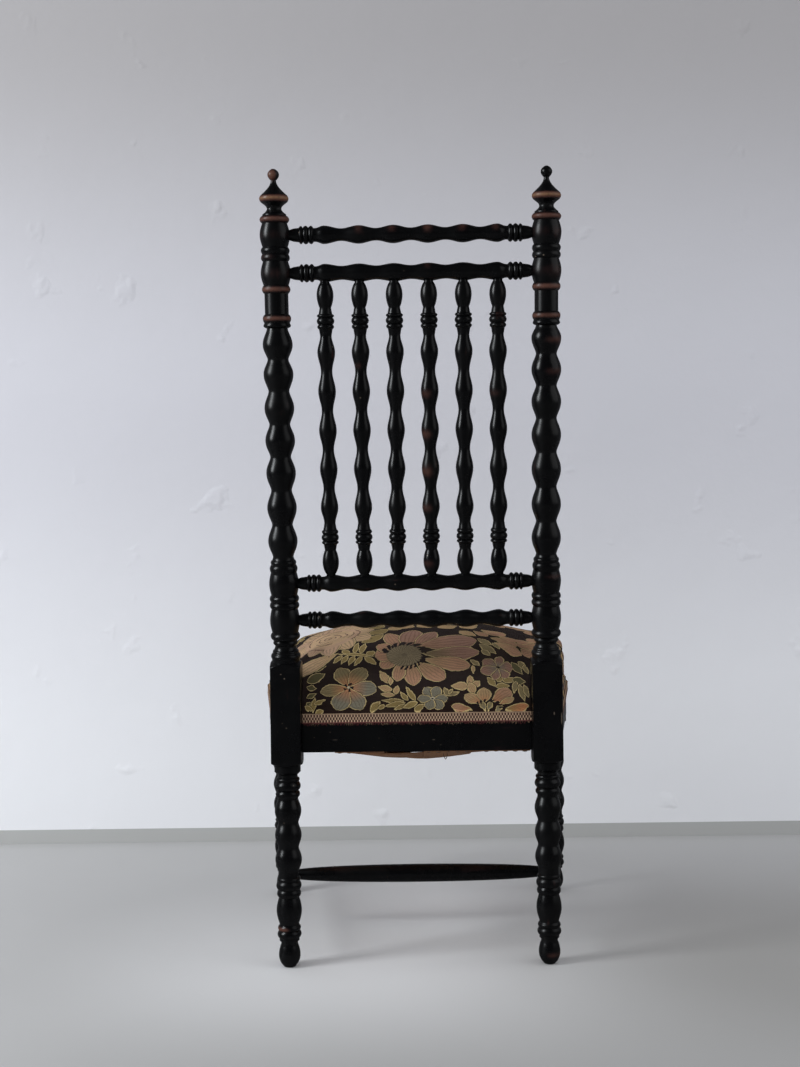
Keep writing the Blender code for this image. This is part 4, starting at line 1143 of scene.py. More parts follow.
def make_camera():
    """Level, behind the chair and a centimetre to its own right, rolled a little."""
    data = bpy.data.cameras.new("camera")
    data.lens = CAMERA_LENS
    data.sensor_width = CAMERA_SENSOR
    data.shift_x = CAMERA_SHIFT
    camera = bpy.data.objects.new("camera", data)
    turn = Matrix.Rotation(math.pi, 4, "Z") @ Matrix.Rotation(math.pi / 2, 4, "X")
    camera.matrix_world = Matrix.Translation(CAMERA_PLACE) @ turn @ Matrix.Rotation(CAMERA_ROLL, 4, "Z")
    bpy.context.scene.collection.objects.link(camera)
    bpy.context.scene.camera = camera


# Webbing, canvas and springs

def side_outer(y):
    """Outer face of the side rails at this y."""
    share = (CHAIR_Y - STOCK / 2 - y) / (LEG_DEPTH - STOCK)
    return REAR_X + STOCK / 2 + (FRONT_X - REAR_X) * share


def side_inner(y):
    slope = (FRONT_X - REAR_X) / (LEG_DEPTH - STOCK)
    return side_outer(y) - RAIL_THICKNESS * math.hypot(1, slope)


def dome_share(x, y, power):
    middle = (REAR_OPENING + FRONT_OPENING) / 2
    half = (REAR_OPENING - FRONT_OPENING) / 2
    across = max(0.0, 1 - abs(x / side_inner(y)) ** power)
    along = max(0.0, 1 - abs((y - middle) / half) ** power)
    return across * along


def webbing_height(x, y):
    """The webbing hangs a little lower in front of its middle, where it has been sat on most."""
    before = min(max((SAT_FROM - y) / SAT_REACH, 0.0), 1.0)
    share = dome_share(x, y, SAG_POWER)
    low = STRAP_SAG * share + SAT_DROP * before * before * (3 - 2 * before) * min(1.0, 2 * share)
    return RAIL_BOTTOM - FIT - STRAP_THICKNESS / 2 - low


def canvas_height(x, y):
    return RAIL_TOP + FIT + CANVAS_RISE * dome_share(x, y, 2)


def strap_places():
    half_width = REAR_X - STOCK / 2
    spare = 2 * half_width - len(LONG_STRAPS) * STRAP_WIDTH
    long_places = []
    edge = half_width
    for space in LONG_STRAP_SPACES:
        long_places.append(edge - space * spare - STRAP_WIDTH / 2)
        edge = long_places[-1] - STRAP_WIDTH / 2
    depth = REAR_OPENING - FRONT_OPENING
    space = (depth - len(CROSS_STRAPS) * STRAP_WIDTH) / (len(CROSS_STRAPS) + 1)
    first = REAR_OPENING - space - STRAP_WIDTH / 2
    cross_places = [first - k * (space + STRAP_WIDTH) for k in range(len(CROSS_STRAPS))]
    return long_places, cross_places


def weave_lift(at, crossings, first):
    """Over one crossing and under the next, easing between them."""
    lift = 0.0
    for k, crossing in enumerate(crossings):
        near = max(0.0, 1 - abs(at - crossing) / STRAP_WIDTH)
        lift += first * (-1) ** k * min(1.0, 2 * near)
    return lift * (STRAP_THICKNESS + STRAP_WEAVE_GAP) / 2


def band_piece(node, stations, across, place, material, slot, thickness):
    """A band with two faces and two edges, over a grid of places. It stores its own (along, across)."""
    points, local = [], []
    for along in stations:
        for step in across:
            middle = place(along, step)
            for half in (-0.5, 0.5):
                points.append(middle + Vector((0, 0, half * thickness)))
                local.append((along, step, 0.0))
    wide = len(across)
    faces = []
    for i in range(len(stations) - 1):
        for j in range(wide - 1):
            a = 2 * (i * wide + j)
            b, c, d = a + 2, a + 2 * wide + 2, a + 2 * wide
            faces += [(a, b, c, d), (a + 1, d + 1, c + 1, b + 1)]
        near = 2 * i * wide
        far = near + 2 * (wide - 1)
        faces.append((near, near + 2 * wide, near + 2 * wide + 1, near + 1))
        faces.append((far, far + 1, far + 2 * wide + 1, far + 2 * wide))
    last = 2 * (len(stations) - 1) * wide
    for start in (0, last):
        for j in range(wide - 1):
            a = start + 2 * j
            faces.append((a, a + 1, a + 3, a + 2))
    made = piece_of(f"{node}_weave", points, faces, material, slot, (node,))
    attach(made, "band", local)
    return made


def wander(along, seed, size):
    """A slow wander of an edge or a thread, the same at every run."""
    return size * hand.noise(Vector((along * 90, seed * 7.3, 0.0)))


def edge_wander(along, step, seed):
    """The wander of a strap's threads, which grows from its middle to its edge."""
    return wander(along, seed, STRAP_EDGE_WANDER) * abs(step) * EDGE_GROWTH


def make_webbing(jute):
    long_places, cross_places = strap_places()
    lateral = np.linspace(-STRAP_WIDTH / 2, STRAP_WIDTH / 2, STRAP_STEPS_ACROSS)
    for i, (name, x_middle) in enumerate(zip(LONG_STRAPS, long_places)):

        def place(y, step):
            x = x_middle + step + edge_wander(y, step, i + math.copysign(5, step))
            lift = weave_lift(y, cross_places, (-1) ** i) + wander(step * 9, y * 40, STRAP_BUMPS)
            return Vector((x, y, webbing_height(x, y) + lift))

        stations = np.linspace(REAR_OPENING + STRAP_GRIP, FRONT_OPENING - STRAP_GRIP, STRAP_STEPS_ALONG)
        band_piece(f"long_strap_{name}", stations, lateral, place, jute, "jute", STRAP_THICKNESS)
    for j, (name, y_middle) in enumerate(zip(CROSS_STRAPS, cross_places)):

        def place(along, step):
            y = y_middle + step + edge_wander(along, step, j + math.copysign(9, step))
            reach = side_inner(y) + STRAP_GRIP
            x = along * reach
            lift = weave_lift(x, long_places, -((-1) ** j))
            return Vector((x, y, webbing_height(x, y) + lift))

        stations = np.linspace(-1.0, 1.0, STRAP_STEPS_ALONG)
        band_piece(f"cross_strap_{name}", stations, lateral, place, jute, "jute", STRAP_THICKNESS)


def block_side(x, y):
    """Pulls a point of a sheet in, so that it stays clear of the square blocks at the rear."""
    edge = REAR_X - STOCK / 2 - CANVAS_OFF_BLOCK
    if y > CHAIR_Y - STOCK / 2 - CANVAS_OFF_BLOCK and abs(x) > edge:
        x = math.copysign(edge, x)
    return x


def make_canvas(canvas):
    """The cloth over the springs, stretched down to the tops of the rails."""
    rear = CHAIR_Y + REAR_RAIL_FACE - CANVAS_HEM
    front = CHAIR_Y - LEG_DEPTH - STOCK / 2 + CANVAS_HEM
    springs = spring_places()

    def place(y, share):
        x = block_side(share * (side_outer(y) - CANVAS_HEM), y)
        height = canvas_height(x, y) + CANVAS_THICKNESS / 2
        for spring_x, spring_y in springs:
            away = math.hypot(x - spring_x, y - spring_y)
            near = math.exp(-(((away - SPRING_END_RADIUS) / SPRING_PRESS_REACH) ** 2))
            height -= SPRING_PRESS * near
        return Vector((x, y, max(height + SPRING_PRESS, RAIL_TOP + FIT + CANVAS_THICKNESS / 2)))

    stations = np.linspace(rear, front, CANVAS_STEPS_ALONG)
    across = np.linspace(-1.0, 1.0, CANVAS_STEPS_ACROSS)
    made = band_piece("spring_canvas", stations, across, place, canvas, "jute", CANVAS_THICKNESS)


def spring_places():
    (left, *others), (rear, middle, front) = strap_places()
    right = sum(others) / len(others)
    return [(left, rear), (right, rear), (0.0, middle), (left, front), (right, front)]


SPRING_NAMES = ("rear_left", "rear_right", "middle", "front_left", "front_right")


def make_springs(steel):
    """Waisted coils, tied to nothing but resting on the webbing and pressing up the canvas."""
    for name, (x_middle, y_middle) in zip(SPRING_NAMES, spring_places()):
        rising = SPRING_TURNS - 2 * SPRING_FLAT_TURN
        route = []
        for k in range(SPRING_TURNS * SPRING_STEPS + 1):
            turn = k / SPRING_STEPS
            rise = min(max((turn - SPRING_FLAT_TURN) / rising, 0.0), 1.0)
            waist = SPRING_END_RADIUS - SPRING_WAIST_RADIUS
            reach = SPRING_END_RADIUS - waist * math.sin(math.pi * rise)
            x = x_middle + reach * math.cos(2 * math.pi * turn)
            y = y_middle + reach * math.sin(2 * math.pi * turn)
            low = webbing_height(x, y) + STRAP_THICKNESS * SPRING_STAND + SPRING_WIRE / 2
            high = canvas_height(x, y) - SPRING_WIRE / 2
            route.append(Vector((x, y, low + (high - low) * rise)))
        coil = thread_parts(route, SPRING_WIRE / 2, 10)
        piece_of(f"spring_{name}_coil", *coil, steel, "spring_steel", (f"spring_{name}",))


def jute_finish(name, thread, pale, dark):
    """Plain weave in thick thread, unevenly soiled, with a few darker threads along the band, and
    painted shade where the weave dips.
    """
    look = Finish(name)
    place = look.attribute("band", "Vector")
    world = look.position()
    parts = look.split(world)
    warp = look.math("SINE", look.times(parts["X"], math.pi / thread))
    weft = look.math("SINE", look.times(parts["Y"], math.pi / thread))
    weave = look.times(warp, weft)
    streak = look.noise(place, 60.0, 2.0, 0.5, (0.15, 8.0, 1.0))
    soil = look.noise(world, 22.0, 3.0)
    fibre = look.noise(world, 900.0, 2.0)
    colour = look.mix(soil, dark, pale)
    colour = look.mix(look.ramp(streak, 0.62, 0.70, 0.0, 0.55), colour, shade(84, 48, 38))
    # Painted shade: darker where the weave dips, in the hollows between the threads
    colour = look.mix(look.ramp(weave, -0.2, -0.9, 0.0, 0.6), colour, shade(58, 40, 27))
    colour = look.mix(look.times(fibre, 0.25), colour, shade(206, 170, 128))
    height = look.weighted(fibre, 0.5, weave)
    return look.surface(colour, 0.92, height, 0.0006, 0.2)


def steel_finish():
    look = Finish("rusted_wire")
    place = look.position()
    rust = look.noise(place, 160.0, 4.0, 0.65)
    share = look.ramp(rust, 0.42, 0.60)
    colour = look.mix(share, shade(112, 106, 100), shade(96, 58, 36))
    colour = look.mix(look.ramp(rust, 0.60, 0.75), colour, shade(58, 36, 26))
    metallic = look.math("SUBTRACT", 0.85, look.times(share, 0.75))
    look.feed(look.shader.inputs["Metallic"], metallic)
    return look.surface(colour, look.ramp(rust, 0.35, 0.65, 0.38, 0.85), rust, 0.0004)


# The upholstered top

def seat_corners():
    """Outer faces of the seat frame in plan, one corner after another."""
    right_side = [
        (REAR_X + STOCK / 2, CHAIR_Y + REAR_RAIL_FACE),
        (REAR_X + STOCK / 2, CHAIR_Y - STOCK / 2),
        (FRONT_X + STOCK / 2, CHAIR_Y - LEG_DEPTH + STOCK / 2),
        (FRONT_X + STOCK / 2, CHAIR_Y - LEG_DEPTH - STOCK / 2),
    ]
    return right_side + [(-x, y) for x, y in reversed(right_side)]


def grown(corners, distance):
    """Moves each side of a plan outwards by this distance."""
    made = []
    for k, corner in enumerate(corners):
        before = Vector(corners[k - 1])
        here = Vector(corner)
        after = Vector(corners[(k + 1) % len(corners)])
        first = (here - before).normalized()
        second = (after - here).normalized()
        first_out = Vector((-first.y, first.x))
        second_out = Vector((-second.y, second.x))
        outwards = (first_out + second_out).normalized()
        made.append(here + outwards * distance / outwards.dot(first_out))
    return made


COVER_EDGE = FIT + COVER_THICKNESS
COVER_REAR = CHAIR_Y + REAR_RAIL_FACE + COVER_EDGE
COVER_FRONT = CHAIR_Y - LEG_DEPTH - STOCK / 2 - COVER_EDGE
COVER_MIDDLE = Vector((0, (COVER_REAR + COVER_FRONT) / 2))
COVER_HALF = Vector((FRONT_X + STOCK / 2 + COVER_EDGE, (COVER_REAR - COVER_FRONT) / 2))
COVER_FOOT = RAIL_TOP - SKIRT_BELOW_RAIL_TOP + GIMP_HEIGHT
COVER_HEM = COVER_FOOT - HEM_BELOW_FOOT


def cover_plan():
    """The cover's outline in plan, as evenly spaced points."""
    corners = grown(seat_corners(), COVER_EDGE)
    made = []
    for k, here in enumerate(corners):
        after = corners[(k + 1) % len(corners)]
        count = max(2, round((after - here).length / STUFFING_GRID))
        made += [here.lerp(after, n / count) for n in range(count)]
    return made


def seat_ring(plan, left, right, front, rear):
    inset = (left + right + front + rear) / 4
    rounding = CROWN_ROUNDING * min(max(inset, 0) / CROWN_ROUNDED_FROM, 1)
    depth = COVER_REAR - rear - COVER_FRONT - front
    ring = []
    for point in plan:
        out = point - COVER_MIDDLE
        angle = math.atan2(out.y / COVER_HALF.y, out.x / COVER_HALF.x)
        oval = Vector((COVER_HALF.x * math.cos(angle), COVER_HALF.y * math.sin(angle)))
        shaped = out.lerp(oval, rounding)
        x = shaped.x * (1 - (left + right) / 2 / COVER_HALF.x) - (left - right) / 2
        y = COVER_FRONT + front + depth * (shaped.y / COVER_HALF.y + 1) / 2
        ring.append(Vector((x, y)))
    return ring


def crown_rings(plan):
    """The stuffed form, from the top of the braid to the middle of the crown, a little under size."""
    heights = [COVER_HEM - RAIL_TOP, COVER_FOOT - RAIL_TOP] + [height for height, _ in CROWN]
    insets = [(0.0, 0.0, 0.0, 0.0)] * 2 + [inset for _, inset in CROWN]
    rings = []
    for height in np.linspace(heights[0], heights[-1], STUFFING_RINGS):
        ease = STUFFING_SHRINK * min(max((height - heights[1]) / SHRINK_EASED_OVER, 0.0), 1.0)
        here = [np.interp(height, heights, side) + ease for side in zip(*insets)]
        rings.append([Vector((*place, RAIL_TOP + height - ease)) for place in seat_ring(plan, *here)])
    return rings


def stuffed_form():
    plan = cover_plan()
    rings = crown_rings(plan)
    return [point for ring in rings for point in ring], tube_faces(len(rings), len(plan))


def swell(pad, tacked):
    """Blows the stuffing out against its cover, which is tacked along its foot, and stops each
    point after a short way."""
    before = np.array([v.co for v in pad.data.vertices])
    hold = pad.vertex_groups.new(name="tacked")
    for k in np.flatnonzero(tacked > 0):
        hold.add([int(k)], float(tacked[k]), "REPLACE")
    cloth = pad.modifiers.new("stuffing", "CLOTH")
    settings = cloth.settings
    settings.vertex_group_mass = "tacked"
    settings.quality = 5
    settings.mass = 0.35
    settings.tension_stiffness = 18
    settings.compression_stiffness = 18
    settings.shear_stiffness = 8
    settings.bending_stiffness = 1.2
    settings.use_pressure = True
    settings.uniform_pressure_force = 4.0
    settings.effector_weights.gravity = 0.0
    scene = bpy.context.scene
    for number in range(1, STUFFING_FRAMES + 1):
        scene.frame_set(number)
    graph = bpy.context.evaluated_depsgraph_get()
    settled = pad.evaluated_get(graph).to_mesh()
    after = np.array([v.co for v in settled.vertices])
    pad.modifiers.remove(cloth)
    pad.vertex_groups.remove(hold)
    scene.frame_set(1)
    move = after - before
    length = np.linalg.norm(move, axis=1, keepdims=True)
    move *= np.minimum(1.0, STUFFING_CAP / np.maximum(length, 1e-9))
    return before + move


def seat_sides(points):
    """Which way each point's side faces in plan, turning smoothly round the corners."""
    x = (points[:, 0] - COVER_MIDDLE.x) / COVER_HALF.x
    y = (points[:, 1] - COVER_MIDDLE.y) / COVER_HALF.y
    power = 9
    out = np.stack([np.sign(x) * np.abs(x) ** power, np.sign(y) * np.abs(y) ** power], axis=1)
    return out / np.maximum(np.linalg.norm(out, axis=1, keepdims=True), 1e-9)


def pattern_places(points):
    """Millimetres over the flat cloth: across it, and up from the braid at the back."""
    way = seat_sides(points)
    crown = RAIL_TOP + CROWN[-1][0]
    drop = np.clip(crown + 0.002 - points[:, 2], 0, None)
    run = COVER_REAR - points[:, 1] + (crown - COVER_FOOT) - drop * way[:, 1]
    walked = [0.0]
    profile = [(0.0, COVER_FOOT)] + [(insets[3], RAIL_TOP + height) for height, insets in CROWN]
    runs = [inset + height - COVER_FOOT for inset, height in profile]
    for (a, low), (b, high) in zip(profile, profile[1:]):
        walked.append(walked[-1] + math.hypot(b - a, high - low))
    up = np.interp(run, runs, walked)
    beyond = np.clip(run - runs[-1], 0, None)
    across = -points[:, 0] - drop * way[:, 0]
    return np.stack([across * 1000 + PATTERN_START, (up + beyond) * 1000, np.zeros(len(up))], axis=1)


def make_cushion(fabric):
    pad = piece_of("seat_cover", *stuffed_form(), fabric, "tapestry", ("seat_cushion",))
    pad.data.remesh_voxel_size = STUFFING_VOXEL
    pad.data.remesh_voxel_adaptivity = 0.0
    bpy.context.view_layer.objects.active = pad
    pad.select_set(True)
    bpy.ops.object.voxel_remesh()
    pad.select_set(False)
    flat = np.array([v.co for v in pad.data.vertices])
    free = (flat[:, 2] - COVER_FOOT - HELD_ABOVE_FOOT) / HOLD_FADES_OVER
    tacked = 1 - np.clip(free, 0.0, 1.0)
    places = flat + (swell(pad, tacked) - flat) * (1 - tacked)[:, None]
    over_frame(places, np.array([v.normal.z for v in pad.data.vertices]))
    places = settle_details(places)
    clear_blocks(places)
    pad.data.vertices.foreach_set("co", places.ravel())
    pad.data.update()
    smooth = pad.modifiers.new("smooth", "SUBSURF")
    smooth.levels = smooth.render_levels = 1
    attach(pad, "cloth", pattern_places(places))
    pad.data.shade_smooth()


def over_frame(places, facing):
    """Lays the underside on the canvas, and keeps the cover's edge outside the rails."""
    for k, (x, y, z) in enumerate(places):
        inside = min(side_outer(y) - abs(x), CHAIR_Y + REAR_RAIL_FACE - y, y - COVER_FRONT - COVER_EDGE)
        if z > RAIL_TOP + FRAME_EDGE or inside < 0:
            continue
        if inside > INSIDE_RAILS or facing[k] < -0.5 and z > RAIL_TOP - FRAME_EDGE:
            places[k][2] = max(RAIL_TOP, canvas_height(x, y)) + CANVAS_THICKNESS + 2 * FIT


def settle_details(places):
    """Hollows of long use, puckers over the tacks, and folds where the cloth turns the corners."""
    made = places.copy()
    for k, (x, y, z) in enumerate(places):
        above = z - COVER_FOOT
        if above < -0.001:
            continue
        low = Vector((x * HOLLOWS_A_METRE, y * HOLLOWS_A_METRE, z * HOLLOWS_A_METRE))
        dent = HOLLOW * hand.noise(low) + SMALL_HOLLOW * hand.noise(low * 3.1)
        tack = math.cos((x + y) * math.tau / PUCKER_PITCH)
        pucker = PUCKER * tack * math.exp(-above / PUCKER_FADES_OVER)
        made[k][2] += dent * min(1.0, above / HOLLOW_GROWS_OVER)
        way = Vector((x, y - COVER_MIDDLE.y)).normalized()
        made[k][0] += way.x * pucker
        made[k][1] += way.y * pucker
        corner = Vector((abs(x) - COVER_HALF.x, y - COVER_FRONT))
        if corner.length < FOLD_ZONE:
            turn = math.atan2(corner.y, -corner.x)
            fade = math.exp(-((corner.length / FOLD_REACH) ** 2))
            fold = FOLD * math.sin(turn * FOLDS_A_RADIAN) * fade
            made[k][0] -= math.copysign(fold, x)
            made[k][1] += fold
    return made


def clear_blocks(places):
    """Keeps the cover off the faces of the square blocks that it is cut round."""
    inner = REAR_X - STOCK / 2 - COVER_OFF_BLOCK
    near = CHAIR_Y - STOCK / 2 - COVER_OFF_BLOCK
    for place in places:
        if abs(place[0]) > inner and place[1] > near:
            by_side = abs(place[0]) - inner
            by_front = place[1] - near
            if by_side < by_front:
                place[0] = math.copysign(inner, place[0])
            else:
                place[1] = near


def braid_section(across):
    """How far the braid stands out at this share of its height: two edge cords and a flat middle."""
    cords = sum(math.exp(-(((across - middle) / BRAID_CORD_REACH) ** 2)) for middle in BRAID_CORDS)
    return 0.55 + 0.45 * min(1.0, cords)


def braid_piece(name, node, route, braid):
    """Woven braid along a route of (place, outward) in plan."""
    points, local = [], []
    walked = 0.0
    shares = np.linspace(0.0, 1.0, BRAID_STEPS_UP)
    low = RAIL_TOP - SKIRT_BELOW_RAIL_TOP
    for k, (place, outward) in enumerate(route):
        if k:
            walked += (place - route[k - 1][0]).length
        wave = BRAID_WAVE * hand.noise(Vector((walked * 60, 0, 0)))
        for share in shares:
            out = GIMP_THICKNESS * braid_section(share)
            zigzag = math.sin(walked * math.tau / BRAID_PITCH + math.pi * (share > 0.5))
            if BRAID_FLAT[0] < share < BRAID_FLAT[1]:
                out += BRAID_ZIGZAG * zigzag * math.cos((share - 0.5) * math.tau * 2)
            at = place + outward * min(out, GIMP_THICKNESS)
            points.append(Vector((at.x, at.y, low + GIMP_HEIGHT * share + wave)))
            local.append((walked, share, 0.0))
        for share in (1.0, 0.0):
            points.append(Vector((place.x, place.y, low + GIMP_HEIGHT * share + wave)))
            local.append((walked, share, 0.0))
    size = len(shares) + 2
    faces = [(first, *reversed(rest)) for first, *rest in tube_faces(len(route), size)]
    made = piece_of(name, points, faces, braid, "gimp_braid", (node,))
    attach(made, "braid", local)


def even_route(corners, outwards, step):
    route = []
    for (start, end), out in zip(zip(corners, corners[1:]), outwards):
        count = max(2, round((end - start).length / step))
        route += [(start.lerp(end, k / count), out) for k in range(count)]
    return route + [(corners[-1], outwards[-1])]


def make_braid(braid):
    inner = FIT + COVER_THICKNESS + FIT
    half = REAR_X - STOCK / 2 - 2 * FIT
    face = CHAIR_Y + REAR_RAIL_FACE + inner
    ends = [Vector((half, face)), Vector((-half, face))]
    braid_piece("braid_rear", "gimp_rear", even_route(ends, [Vector((0, 1))], REAR_BRAID_STEP), braid)
    plan = grown(seat_corners(), inner)[1:7]
    for k in (0, -1):
        plan[k] = Vector((plan[k].x, CHAIR_Y - STOCK / 2 - FIT))
    outwards = []
    for start, end in zip(plan, plan[1:]):
        along = (end - start).normalized()
        outwards.append(Vector((-along.y, along.x)))
    route = even_route(plan, outwards, SIDE_BRAID_STEP)
    braid_piece("braid_sides_and_front", "gimp_sides_and_front", route, braid)


TINTS = {name: shade(*values) for name, values in TINT_VALUES.items()}


# Tapestry: petals and leaves laid over a dark ground, each with a pale outline

def new_group(name, sockets):
    """An empty group of nodes that gives one colour, and what the group is given."""
    tree = bpy.data.node_groups.new(name, "ShaderNodeTree")
    for socket, kind in sockets.items():
        tree.interface.new_socket(socket, in_out="INPUT", socket_type=f"NodeSocket{kind}")
    tree.interface.new_socket("Colour", in_out="OUTPUT", socket_type="NodeSocketColor")
    return Nodes(tree), tree.nodes.new("NodeGroupInput").outputs


def closed_group(nodes, colour):
    nodes.feed(nodes.tree.nodes.new("NodeGroupOutput").inputs[0], colour)
    return nodes.tree


def petal_group():
    """Lays one petal or leaf over the colours below it."""
    sockets = {
        "Under": "Color",
        "Place": "Vector",
        "Start": "Vector",
        "Along": "Vector",
        "Across": "Vector",
        "Half Width": "Float",
        "Fullest": "Float",
        "Bluntness": "Float",
        "Heart": "Color",
        "Tip": "Color",
    }
    nodes, given = new_group("petal", sockets)
    away = nodes.vector("SUBTRACT", given["Place"], given["Start"])
    reach = nodes.vector("DOT_PRODUCT", away, given["Along"], output="Value")
    along = nodes.math("MINIMUM", reach, 1.0)
    blend = nodes.math("MINIMUM", nodes.times(reach, 1.5), 1.0)
    across = nodes.vector("DOT_PRODUCT", away, given["Across"], output="Value")
    turn = nodes.times(nodes.math("POWER", along, given["Fullest"]), math.pi)
    profile = nodes.math("POWER", nodes.math("SINE", turn), given["Bluntness"])
    gap = nodes.math("SUBTRACT", profile, nodes.math("ABSOLUTE", across))
    gap = nodes.times(gap, given["Half Width"])
    spread = nodes.math("DIVIDE", across, nodes.math("ADD", profile, 0.1))
    vein = nodes.math("GREATER_THAN", nodes.math("SINE", nodes.times(spread, 19.0)), 0.50)
    colour = nodes.mix(blend, given["Heart"], given["Tip"])
    colour = nodes.mix(nodes.times(vein, 0.36), colour, TINTS["vein"])
    colour = nodes.mix(nodes.math("LESS_THAN", gap, OUTLINE), colour, TINTS["outline"])
    colour = nodes.mix(nodes.math("GREATER_THAN", gap, 0.0), TINTS["ground"], colour)
    seam = nodes.times(reach, nodes.math("SUBTRACT", 1.04, reach))
    seam = nodes.math("GREATER_THAN", nodes.math("MINIMUM", seam, nodes.math("ADD", gap, SEAM)), 0.0)
    colour = nodes.mix(seam, given["Under"], colour)
    return closed_group(nodes, colour)


def disc_group():
    """Lays a ring, or a ring of short strokes, over the colours below it."""
    sockets = {
        "Under": "Color",
        "Place": "Vector",
        "Centre": "Vector",
        "Scale": "Vector",
        "Inner": "Float",
        "Outer": "Float",
        "Strokes": "Float",
        "Facing": "Float",
        "Open": "Float",
        "Colour": "Color",
    }
    nodes, given = new_group("disc", sockets)
    away = nodes.vector("SUBTRACT", given["Place"], given["Centre"])
    away = nodes.vector("MULTIPLY", away, given["Scale"])
    reach = nodes.vector("LENGTH", away, output="Value")
    parts = nodes.split(away)
    angle = nodes.math("ARCTAN2", parts["Y"], parts["X"])
    facing = nodes.math("COSINE", nodes.math("SUBTRACT", angle, given["Facing"]))
    bend = nodes.weighted(reach, 0.5, angle)
    stroke = nodes.math("SINE", nodes.times(bend, given["Strokes"]))
    share = nodes.math("GREATER_THAN", stroke, -0.15)
    share = nodes.times(share, nodes.math("GREATER_THAN", reach, given["Inner"]))
    share = nodes.times(share, nodes.math("LESS_THAN", reach, given["Outer"]))
    share = nodes.times(share, nodes.math("GREATER_THAN", facing, given["Open"]))
    return closed_group(nodes, nodes.mix(share, given["Under"], given["Colour"]))


def petals_of(flowers):
    return [(u, v, *petal, heart, tip) for heart, tip, u, v, *petals in flowers for petal in petals]


def leaves_of(plants):
    return [(*leaf, tint) for tint, *leaves in plants for leaf in leaves]


def lay_petal(look, group, under, place, row, shape):
    start_u, start_v, tip_u, tip_v, width, *names = row
    start = Vector((start_u, start_v, 0))
    run = Vector((tip_u, tip_v, 0)) - start
    side = Vector((-run.y, run.x, 0)).normalized()
    inputs = {
        "Under": under,
        "Place": place,
        "Start": start,
        "Along": run / run.length_squared,
        "Across": side / (width / 2),
        "Half Width": width / 2,
        "Fullest": shape[0],
        "Bluntness": shape[1],
        "Heart": TINTS[names[0]],
        "Tip": TINTS[names[-1]],
    }
    return look.add("ShaderNodeGroup", inputs, node_tree=group)


def lay_disc(look, group, under, place, row):
    centre_u, centre_v, wide, high, inner, outer, tint, *rest = row
    strokes, facing, openness = rest or WHOLE_RING
    inputs = {
        "Under": under,
        "Place": place,
        "Centre": (centre_u, centre_v, 0),
        "Scale": (1 / wide, 1 / high, 0),
        "Inner": inner,
        "Outer": outer,
        "Strokes": strokes,
        "Facing": math.radians(facing),
        "Open": openness,
        "Colour": TINTS[tint],
    }
    return look.add("ShaderNodeGroup", inputs, node_tree=group)


def tapestry_finish():
    look = Finish("tapestry_cover")
    petal, disc = petal_group(), disc_group()
    flat = look.attribute("cloth", "Vector")
    unit = look.vector("SNAP", flat, (WARP_PITCH / 2, RIB_PITCH / 2, 1.0))
    wobble = look.add("ShaderNodeTexNoise", {"Vector": unit, "Scale": 0.16, "Detail": 1.0}, "Color")
    wobble = look.vector("SUBTRACT", wobble, (0.5, 0.5, 0.5))
    unit = look.vector("MULTIPLY_ADD", wobble, (3.2, 3.2, 0.0), unit)
    split = look.split(unit)
    u = look.math("PINGPONG", split["X"], REPEAT_ACROSS)
    v = look.math("PINGPONG", split["Y"], REPEAT_UP)
    place = look.add("ShaderNodeCombineXYZ", {"X": u, "Y": v})
    rose_u = look.math("ADD", split["X"], ROSE_BEYOND)
    rose_u = look.math("PINGPONG", rose_u, REPEAT_ACROSS + ROSE_BEYOND)
    rose_u = look.math("SUBTRACT", rose_u, ROSE_BEYOND)
    rose_v = look.math("PINGPONG", split["Y"], ROSE_REPEAT_UP)
    shift = look.noise(unit, 0.03, 2.0)
    colour = look.mix(shift, TINTS["ground"], TINTS["ground_red"])
    for row in leaves_of(LEAVES):
        colour = lay_petal(look, petal, colour, place, row, LEAF_SHAPE)
    rose_place = look.add("ShaderNodeCombineXYZ", {"X": rose_u, "Y": rose_v})
    for row in petals_of(ROSE_PETALS):
        colour = lay_petal(look, petal, colour, rose_place, row, PETAL_SHAPE)
    for row in petals_of(PETALS):
        colour = lay_petal(look, petal, colour, place, row, PETAL_SHAPE)
    for row in ROSE_DISCS:
        colour = lay_disc(look, disc, colour, rose_place, row)
    for row in DISCS:
        colour = lay_disc(look, disc, colour, place, row)
    ribs = look.split(flat)
    rib = look.math("SINE", look.times(ribs["Y"], math.tau / RIB_PITCH))
    warp = look.math("SINE", look.times(ribs["X"], math.tau / WARP_PITCH))
    thread = look.noise(look.vector("SNAP", flat, (WARP_PITCH, RIB_PITCH / 2, 1.0)), 2.3, 0.0)
    # Brightness over the cloth: each thread's own tone, and painted shade in the furrows between the
    # ribs and the warp threads
    light = look.weighted(rib, 0.10, look.weighted(thread, 0.60, 0.86))
    light = look.weighted(warp, 0.05, light)
    colour = look.add("ShaderNodeVectorMath", {0: colour, "Scale": light}, operation="SCALE")
    soil = look.noise(flat, 0.012, 4.0, 0.6)
    colour = look.mix(look.ramp(soil, 0.42, 0.72, 0.0, 0.34), colour, shade(70, 58, 42))
    height = look.weighted(warp, 0.4, rib)
    height = look.weighted(thread, 0.8, height)
    look.shader.inputs["Sheen Weight"].default_value = 0.04
    look.shader.inputs["Sheen Roughness"].default_value = 0.5
    return look.surface(colour, 0.94, height, 0.00035, 0.05)


